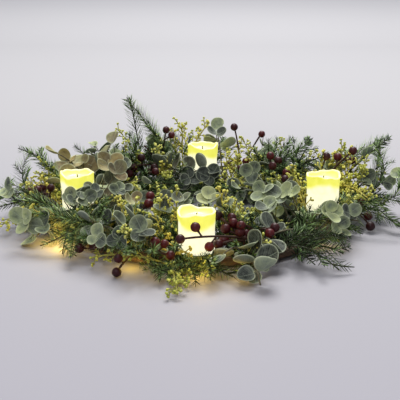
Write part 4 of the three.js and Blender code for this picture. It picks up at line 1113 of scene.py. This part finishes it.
def hides_something(points, only_candles=False):
    """Whether anything here would stand before a candle, a berry or a large leaf, seen from the front."""
    x, y, depth = seen_at(points)
    for side, (left, top, right, low) in WINDOWS.items():
        before = points[:, 1] < CANDLE_AXES[side][1]
        if np.any(before & (x > left) & (x < right) & (y > top) & (y < low)):
            return True
    if only_candles:
        return False
    apart = np.hypot(x[:, None] - SHOWN_X, y[:, None] - SHOWN_Y)
    return bool(np.any((apart < SHOWN[:, 3]) & (depth[:, None] < SHOWN_DEPTH)))


def from_ring(angle, section):
    """A place just inside the ring's strands."""
    return polar(angle, RING_RADIUS + 12 * math.cos(section * RAD), RING_MIDDLE + 7 * math.sin(section * RAD))


def fill_curve(angle, section, reach, rng):
    """A short stem that rises from the ring at this angle and section, swept a little to one side."""
    cos, sin = math.cos(section * RAD), math.sin(section * RAD)
    start = from_ring(angle, section)
    swing = math.tan(math.radians(22.0 * rng.uniform(-0.6, 1.4)))
    out = unit(polar(angle, 1, 0) * cos + UP * sin + polar(angle + 90, 1, 0) * swing)
    tip = start + out * reach
    tip[2] = max(tip[2] - reach * 0.10, 4 + 4 * rng.random())
    middle = (start + tip) / 2 + UP * reach * 0.25 * (0.4 + 0.6 * abs(cos)) * rng.uniform(0.6, 1.2)
    return Curve(start, middle, tip)


def reach_curve(angle, tip_angle, tip_radius, tip_height, section=165):
    """A stem from the ring up to a given tip."""
    start, tip = from_ring(angle, section), polar(tip_angle, tip_radius, tip_height)
    return Curve(start, start * (0.35, 0.35, 0) + tip * (0.65, 0.65, 0) + UP * (8 + 0.45 * tip_height), tip)


def fits(curve, margin=31.5, t=(0.35, 0.55, 0.75, 0.9, 1.0), freely=False):
    """Whether a stem keeps clear of the hole, the box's sides, the candles and what it would hide."""
    points = curve.at(np.array(t))
    inside = np.all(np.abs(points[:, :2]).max(axis=1) > OPEN_HALF)
    within = np.all(points > BOX_LOW + BOX_MARGIN) and np.all(points < BOX_HIGH - BOX_MARGIN)
    angles = np.degrees(np.arctan2(points[:, 1], points[:, 0])) % 360
    reaches = np.interp(angles, *REACHES.T) + 1.2 * np.maximum(0, points[:, 2] - 6)
    within &= freely or bool(np.all(np.hypot(points[:, 0], points[:, 1]) < reaches))
    clear = clear_of_candles(points, margin).all()
    return inside and within and clear and not hides_something(points, freely)


def fill_fir(builder, curve, rng, level, parts=(0.34, 0.52), share=0.78, growth=1.0):
    """A fir stem with a twig at each of its parts."""
    main = Stem(curve, 0.9, 0.45)
    stem_tube(builder, main, 4)
    needles_on(builder, main, 3, rng, level, 3.5, False, growth)
    for k, part in enumerate(parts):
        root, along = curve.at(part), curve.along(part)
        sideways = across(along)[0] * (1 if k % 2 else -1)
        out = unit(along + sideways * rng.uniform(0.7, 1.0) + UP * rng.uniform(-0.15, 0.2))
        reach = curve.length * (1 - part) * share * rng.uniform(0.85, 1.15)
        tip = root + out * reach
        tip[2] = max(tip[2], 3.0)
        twig = Stem(Curve(root, (root + tip) / 2 + along * reach * 0.1, tip), 0.6, 0.35)
        if fits(twig.curve, 31.0):
            stem_tube(builder, twig, 3)
            needles_on(builder, twig, 1.5, rng, level, 3.5, False)


def free_for_leaf(middle, rim, radius, placed):
    """Whether a leaf hides nothing, keeps clear of the hole and the candles, and crosses no other."""
    # The photo shows needles and berries, but no leaves, right in front of the front candle
    if abs(middle[0]) < 45 and middle[1] < -190:
        return False
    if rim[:, 2].min() < 1.5 or not clear_of_candles(rim, 31).all() or hides_something(rim):
        return False
    return np.abs(rim[:, :2]).max(axis=1).min() >= OPEN_HALF - 2 and not any(
        np.linalg.norm(middle - p) < 0.75 * (radius + r) for p, r in placed)


def fill_leaves(builder, curve, rng, level, placed):
    """A leafy stem, without the leaves that would be in the way."""
    stem_tube(builder, Stem(curve, 1.0, 0.6), 5)
    turn = 360 * rng.random()
    for k, part in enumerate((1.0, 0.84, 0.84, 0.66, 0.66, 0.48, 0.48)):
        root, along = curve.at(part), curve.along(part)
        radius = rng.uniform(8.5, 13.0) * (1.0 if k else 0.8)
        lean = rng.uniform(60, 84) if k else 20
        out = leaning(along, lean, turn + 180 * (k % 2) + 90 * ((k + 1) // 2))
        face = tilted(out, rng.uniform(-60, 60) * RAD)
        middle = root + out * (radius + 2.0)
        rim = middle + np.array([out, -out, face, -face, np.cross(face, out), np.cross(out, face)]) * radius
        if free_for_leaf(middle, rim, radius, placed):
            placed.append((middle, radius))
            warm = 0.5 * warmth(middle) * rng.random()
            leaf(builder, root, middle, out, face, radius, rng, varied(rng, level), warm)


def fill_sprig(builder, curve, rng, level, warm):
    """A sprig stem with branchlets all along it."""
    stem_tube(builder, Stem(curve, 0.9, 0.5), 5, warm)
    sprouts_on(builder, curve, rng, level, warm, 12, 4.6, (30, 52), (5.0, 10.0), 3, 29)


def fill_rows(rows, rng, shift=0.0):
    """The stems of the filling, made shorter where something is in the way."""
    for row, (section, reach, count) in enumerate(rows):
        for k in range(count):
            angle = 360 * (k + 0.5 * (row % 2) + shift + rng.uniform(-0.35, 0.35)) / count
            for size in (1.0, 0.8, 0.6):
                size *= 1 + 0.32 * max(0.0, math.sin(angle * RAD)) * (section > 30)
                side = section + rng.uniform(-9, 9)
                curve = fill_curve(angle, side, reach * size * rng.uniform(0.8, 1.15), rng)
                # On the right of the front only long fronds reach out
                bare = 290 < angle % 360 < 336 and np.hypot(*curve.c[:2]) > (176 if section > 30 else 202)
                if fits(curve) and not bare:
                    yield angle % 360, noise(row + 1, k + 0.5), curve
                    break


def inner_stems(rng, count, lowest, highest):
    """Stems that lean over the edge of the hole, highest in front, where they hide what lies behind."""
    for k in range(count):
        angle = 360 * (k + rng.uniform(-0.3, 0.3)) / count
        front = 0.5 - 0.5 * math.sin(angle * RAD)
        height = lowest + (highest - lowest) * front * rng.uniform(0.6, 1.0) + rng.uniform(-6, 10)
        for radius in (112, 122, 134):
            curve = reach_curve(angle, angle + rng.uniform(-14, 14), radius + rng.uniform(-8, 8), height)
            if fits(curve, 31, (0.55, 0.75, 0.9, 1.0)):
                yield angle % 360, noise(k, 4.4), curve
                break


def make_more_berries():
    rng = np.random.default_rng(13)
    builder = Builder()
    for seat, hub, places in BERRY_GROUPS:
        start, hub = seat_on(*seat)[0], polar(*hub)
        stem_tube(builder, Stem(Curve(start, (start + hub) / 2 + UP * 6, hub), 1.6, 1.4), 8)
        for place in places:
            middle = polar(*place)
            radius = rng.uniform(5.8, 6.8)
            axis = unit(middle - hub)
            t = np.linspace(0, 1, 6)[:, None]
            path = hub + (middle - axis * radius * 0.9 - hub) * t + UP * 2.5 * np.sin(np.pi * t)
            berry(builder, path, 1.4, middle, axis, radius, rng)
    builder.piece("berries_filling", "berries", None)


def rosette(builder, place, count, size, tone, warm, rng):
    """Leaves round the end of a stem, turned outward, up and to the front."""
    middle = RING_RADIUS * unit(place * (1, 1, 0)) + UP * RING_MIDDLE
    towards = unit(unit(place - middle) * 0.6 + np.array([0.0, -0.75, 0.3]))
    spin = 360 * rng.random()
    for k in range(count):
        out = leaning(towards, rng.uniform(52, 76), spin + 360 * k / count + rng.uniform(-18, 18))
        radius = size * rng.uniform(0.78, 1.15)
        face = unit(towards - out * (towards @ out) + rng.normal(0, 0.25, 3))
        face = unit(face - out * (face @ out))
        centre = place + out * radius * 0.9 + towards * 2 * (k % 2)
        if clear_of_candles(centre[None], 31)[0] and centre[2] > radius + 1:
            shade = varied(rng, tone, 0.18)
            leaf(builder, place, centre, out, face, radius, rng, shade, warm * rng.uniform(0.5, 1))


BANDS = 8


def make_filling():
    """Sets the placed clusters, fronds and sprigs first, and then what fills the rest."""
    rng = np.random.default_rng(11)
    builders = {kind: [Builder() for _ in range(BANDS)] for kind in ("fir", "eucalyptus", "sprig")}
    placed = []

    def band(kind, angle):
        return builders[kind][int(angle * BANDS / 360)]

    for angle, radius, height, count, size, tone, warm in CLUSTERS:
        place, leaves = polar(angle, radius, height), band("eucalyptus", angle)
        section = 20 if radius > 190 else 90 if radius > 165 else 150
        stem = reach_curve(angle + rng.uniform(-5, 5), angle, radius, height, section)
        stem_tube(leaves, Stem(stem, 1.1, 0.7), 6)
        rosette(leaves, place, count, size, tone, warm, rng)
        placed.append((place, 1.2 * size))
    for angle, tip_angle, radius, height in FROND_TIPS:
        start = polar(angle, RING_RADIUS + (6 if radius > RING_RADIUS else -6), 13)
        tip = polar(tip_angle, radius, height)
        curve = Curve(start, (start + tip) / 2 + UP * (34 if height < 60 else 6 + 0.1 * height), tip)
        if fits(curve, 30, freely=True):
            # The fronds on the right of the front have no twigs, so that the floor shows between them
            parts = () if 305 < tip_angle < 330 else (0.3, 0.5)
            fill_fir(band("fir", tip_angle), curve, rng, 0.55, parts, 0.45, 1.5 if height > 110 else 1.25)
    for angle, bend, tip in ARCHED_FRONDS:
        curve = Curve(polar(angle, RING_RADIUS + 6, 13), polar(*bend), polar(*tip))
        if fits(curve, 30, freely=True):
            fill_fir(band("fir", tip[0]), curve, rng, 0.5, (0.55, 0.7), 0.45, 1.25)
    for angle, radius, height in SPRIG_TIPS:
        section = 40 if radius > RING_RADIUS else 140
        curve = reach_curve(angle + rng.uniform(-6, 6), angle, radius, height, section)
        if fits(curve, 30, freely=True):
            # Painted candle light: each of these sprigs gets a random share of the golden glow
            fill_sprig(band("sprig", angle), curve, rng, 0.75, 0.35 * rng.random())
    for angle, level, curve in fill_rows(FIR_ROWS, rng):
        fill_fir(band("fir", angle), curve, rng, 0.2 + 0.4 * level)
    for angle, level, curve in inner_stems(rng, 46, 12, 66):
        fill_fir(band("fir", angle), curve, rng, 0.15 + 0.4 * level)
    for angle, level, curve in inner_stems(rng, 17, 16, 70):
        fill_leaves(band("eucalyptus", angle), curve, rng, 0.25 + 0.55 * level, placed)
    for angle, level, curve in inner_stems(rng, 19, 20, 72):
        fill_sprig(band("sprig", angle), curve, rng, 0.4 + 0.5 * level, 0.0)
    for angle, level, curve in fill_rows(LEAF_FILL_ROWS, rng, 0.3):
        fill_leaves(band("eucalyptus", angle), curve, rng, 0.25 + 0.55 * level, placed)
    for angle, level, curve in fill_rows(SPRIG_ROWS, rng, 0.6):
        fill_sprig(band("sprig", angle), curve, rng, 0.4 + 0.5 * level, 0.5 * warmth(curve.at(0.8)))
    for kind, made in builders.items():
        for k, builder in enumerate(made):
            builder.piece(f"{kind}_filling_{k + 1}", kind, None)


make_more_berries()
make_filling()


# The vine ring: strands that wind round each other, and thinner ones inside that wind the other way
STRANDS, INNER_STRANDS, STRAND_STEPS, STRAND_SIDES = 11, 4, 200, 9
HALF_WIDTH, HALF_HEIGHT = 13.6, 8.1


def make_ring():
    builder = Builder()
    rng = np.random.default_rng(7)
    phi, angle = circle(STRAND_STEPS), circle(STRAND_SIDES)
    for s in range(STRANDS + INNER_STRANDS):
        inner = s >= STRANDS
        thick = 2.2 if inner else rng.uniform(3.3, 4.6)
        turn = 2 * np.pi * s / STRANDS + (-3 if inner else RING_TWISTS) * phi + 0.25 * np.sin(4 * phi + s)
        radius = RING_RADIUS + (HALF_WIDTH - thick) * np.cos(turn) + 0.7 * np.sin(7 * phi + 2 * s)
        height = RING_MIDDLE + (HALF_HEIGHT - thick) * np.sin(turn)
        gauge = thick * (1 + 0.10 * np.sin(5 * phi + s) + 0.06 * np.sin(13 * phi + 3 * s))
        gauge = np.minimum(gauge, np.minimum(height, 2 * RING_MIDDLE - height))
        path = np.stack([radius * np.cos(phi), radius * np.sin(phi), height], axis=-1)
        tangent = unit(np.roll(path, -1, axis=0) - np.roll(path, 1, axis=0))
        one = unit(np.cross(tangent, UP))
        two = np.cross(one, tangent)
        rough = 1 + 0.06 * rng.standard_normal((STRAND_STEPS, STRAND_SIDES))
        rings = path[:, None] + (gauge[:, None] * rough)[..., None] * (
            np.cos(angle)[None, :, None] * one[:, None] + np.sin(angle)[None, :, None] * two[:, None])
        rings[..., 2] = np.clip(rings[..., 2], 0.0, 2 * RING_MIDDLE)
        faces = grid_faces(STRAND_STEPS + 1, STRAND_SIDES) % (STRAND_STEPS * STRAND_SIDES)
        where = np.stack([np.repeat(np.cos(phi) * 12 + s * 5, STRAND_SIDES),
                          np.repeat(np.sin(phi) * 12, STRAND_SIDES),
                          np.tile(np.cos(angle) * 3, STRAND_STEPS)], axis=-1)
        builder.add(rings.reshape(-1, 3), [faces[:, ::-1]], rng.random(), 1.0, 0.0, where)
    builder.piece("vine_ring_strands", "vine", "vine_ring")


make_ring()

# The candles, in the sizes of the CAD source
CANDLE_RADIUS, CANDLE_HEIGHT, DRIP_DEPTH, RIM_WAVE = 25, 56, 1.6, 2.2
POOL_DEPTH, POOL_RADIUS, CAVITY_RADIUS, CAVITY_HEIGHT = 8, 17, 18.6, 36
POOL_LEVEL = CANDLE_HEIGHT - POOL_DEPTH
WICK_FOOT = POOL_LEVEL - 0.7
WAX_SIDES, WAX_LEVELS, CUP_SIDES, WICK_SIDES = 128, 30, 72, 10
# Drips: the angle, half the width in degrees and the length of each
DRIPS = ((20, 26, 22), (70, 18, 12), (118, 26, 30), (165, 20, 14), (208, 30, 26), (262, 20, 16),
         (315, 24, 24))
# The wax at the rim: how far inside the candle's radius, how far below the rim's wave, and its glow
RIM_ROWS = ((0.35, 1.2, 0.65), (1.0, 0.35, 0.95), (1.9, 0.0, 0.95), (3.0, 0.5, 0.95), (4.0, 1.8, 0.65))


def drips_at(height, angle, rim, seed):
    """How far the wax has run at each angle: 1 in the middle of a drip, 0 beside all of them."""
    most = np.zeros(WAX_SIDES)
    for middle, width, length in DRIPS:
        off = np.abs((angle / RAD - middle - 40 * seed + 540) % 360 - 180) / width
        down = (rim - height) / length
        shape = np.clip(1 - off ** 2, 0, 1) ** 0.7 * np.clip(2 * (1 - down), 0, 1) ** 0.7
        most = np.maximum(most, np.where(down < 1, shape, 0))
    return most


def one_body(part, label, kind, points, faces, *paint):
    """A piece of one body, which takes the place of a candle's part."""
    builder = Builder()
    builder.add(points, faces, *paint)
    builder.piece(f"{part}_{label}", kind, part)


def make_wax(side, seed):
    """A candle, as rows of radius, height and glow, from its cavity over its wall and rim to its pool."""
    angle = circle(WAX_SIDES)
    rim = (CANDLE_HEIGHT + RIM_WAVE * (0.75 * np.sin(2 * angle + seed) + 0.6 * np.sin(3 * angle + 2.1 * seed))
           + 0.7 * np.sin(5 * angle + 1.3 * seed) + 0.45 * np.sin(9 * angle - seed))
    rows = [(0, CAVITY_HEIGHT, 0.9), (CAVITY_RADIUS * 0.5, CAVITY_HEIGHT, 0.9),
            (CAVITY_RADIUS, CAVITY_HEIGHT - 2, 0.9), (CAVITY_RADIUS, 0, 0.9)]
    for k in range(WAX_LEVELS):
        part = k / (WAX_LEVELS - 1)
        height = part * (rim - 2.0)
        b = drips_at(height, angle, rim, seed)
        wobble = 0.12 * np.sin(11 * angle + 0.35 * height) + 0.10 * np.sin(5 * angle - 0.22 * height + seed)
        dome = 41 - 5 * np.cos(2 * angle + seed) - height
        lamp = np.clip(0.5 + dome / 9, 0, 1)
        rows.append((CANDLE_RADIUS - DRIP_DEPTH * (1 - b) - 0.15 + wobble * (1 - part), height,
                     0.34 + 0.72 * lamp * lamp * (3 - 2 * lamp) - 0.10 * b * lamp))
    rows += [(CANDLE_RADIUS - inset, rim - drop, glow) for inset, drop, glow in RIM_ROWS]
    lip, edge = CANDLE_RADIUS - 4.6, rim - 3.0
    rows += [(lip - (lip - POOL_RADIUS) * part, edge * (1 - part) + POOL_LEVEL * part, 0.42 + 0.36 * part)
             for part in (0.0, 0.35, 0.7, 1.0)]
    rows += [(radius, POOL_LEVEL - (1.0 - radius / POOL_RADIUS), 0.8) for radius in (13.0, 8.0, 4.0, 1.6)]
    rows.append((0, WICK_FOOT - SEAT_GAP, 0.8))
    points, faces = turned([row[:2] for row in rows], WAX_SIDES)
    glows = [np.broadcast_to(glow, WAX_SIDES) for _, _, glow in rows[1:-1]]
    glow = np.concatenate(glows + [[rows[0][2], rows[-1][2]]])
    wall = np.clip((np.hypot(points[:, 0], points[:, 1]) - 22) / 2, 0, 1) * 0.75
    points = points + CANDLE_AXES[side] + UP * WAX_BASE
    one_body(f"candle_wax_{side}", "melted", "wax", points, faces, glow, 0.0, wall)


def make_cup(side):
    outer, wall, lip = 29, 1.2, 8
    rows = [(0, 0), (outer - 1.2, 0), (outer - 0.3, 0.4), (outer, 1.2), (outer, lip - 1.4),
            (outer + 0.25, lip - 1.0), (outer + 0.25, lip - 0.2), (outer - 0.1, lip), (outer - wall, lip),
            (outer - wall, CUP_FLOOR + 0.5), (outer - wall - 0.5, CUP_FLOOR), (0, CUP_FLOOR)]
    points, faces = turned(rows, CUP_SIDES)
    one_body(f"candle_cup_{side}", "moulded", "cup", points + CANDLE_AXES[side] + UP * CUP_BASE, faces)


def make_wick(side, seed):
    t = np.linspace(0, 1, 9)
    bend = 0.7 * t ** 2
    lean = np.stack([bend * math.cos(seed * 2.1), bend * math.sin(seed * 2.1), 6.3 * t], axis=-1)
    foot = CANDLE_AXES[side] + UP * (WAX_BASE + WICK_FOOT)
    cord = tube(foot + lean, 1.05 * (1 - 0.35 * t) * (1 + 0.10 * np.sin(20 * t)), WICK_SIDES)
    one_body(f"wick_{side}", "cord", "wick", *cord)


for seed, side in enumerate(SIDES):
    make_wax(side, seed)
    make_cup(side)
    make_wick(side, seed)
    unit_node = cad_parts[f"light_unit_{side}"]
    unit_node.data.materials.clear()
    unit_node.data.materials.append(MATERIALS["light"])

# The glow of the candles on the table: the angle, radius, height and power of small lights in the leaves
GLOWS = ((0, 160, 11, 0.03), (180, 160, 11, 0.03), (270, 214, 12, 0.10), (272, 244, 24, 0.04),
         (258, 228, 16, 0.02), (283, 228, 14, 0.03), (205, 222, 14, 0.09), (213, 218, 10, 0.08),
         (246, 206, 14, 0.05), (330, 204, 10, 0.02))
for angle, radius, height, power in GLOWS:
    place = CENTRE + polar(angle, radius, height) * METRES_PER_MM
    light(f"glow_{angle}_{radius}", "POINT", place, power, (1.0, 0.66, 0.12), 0.02)
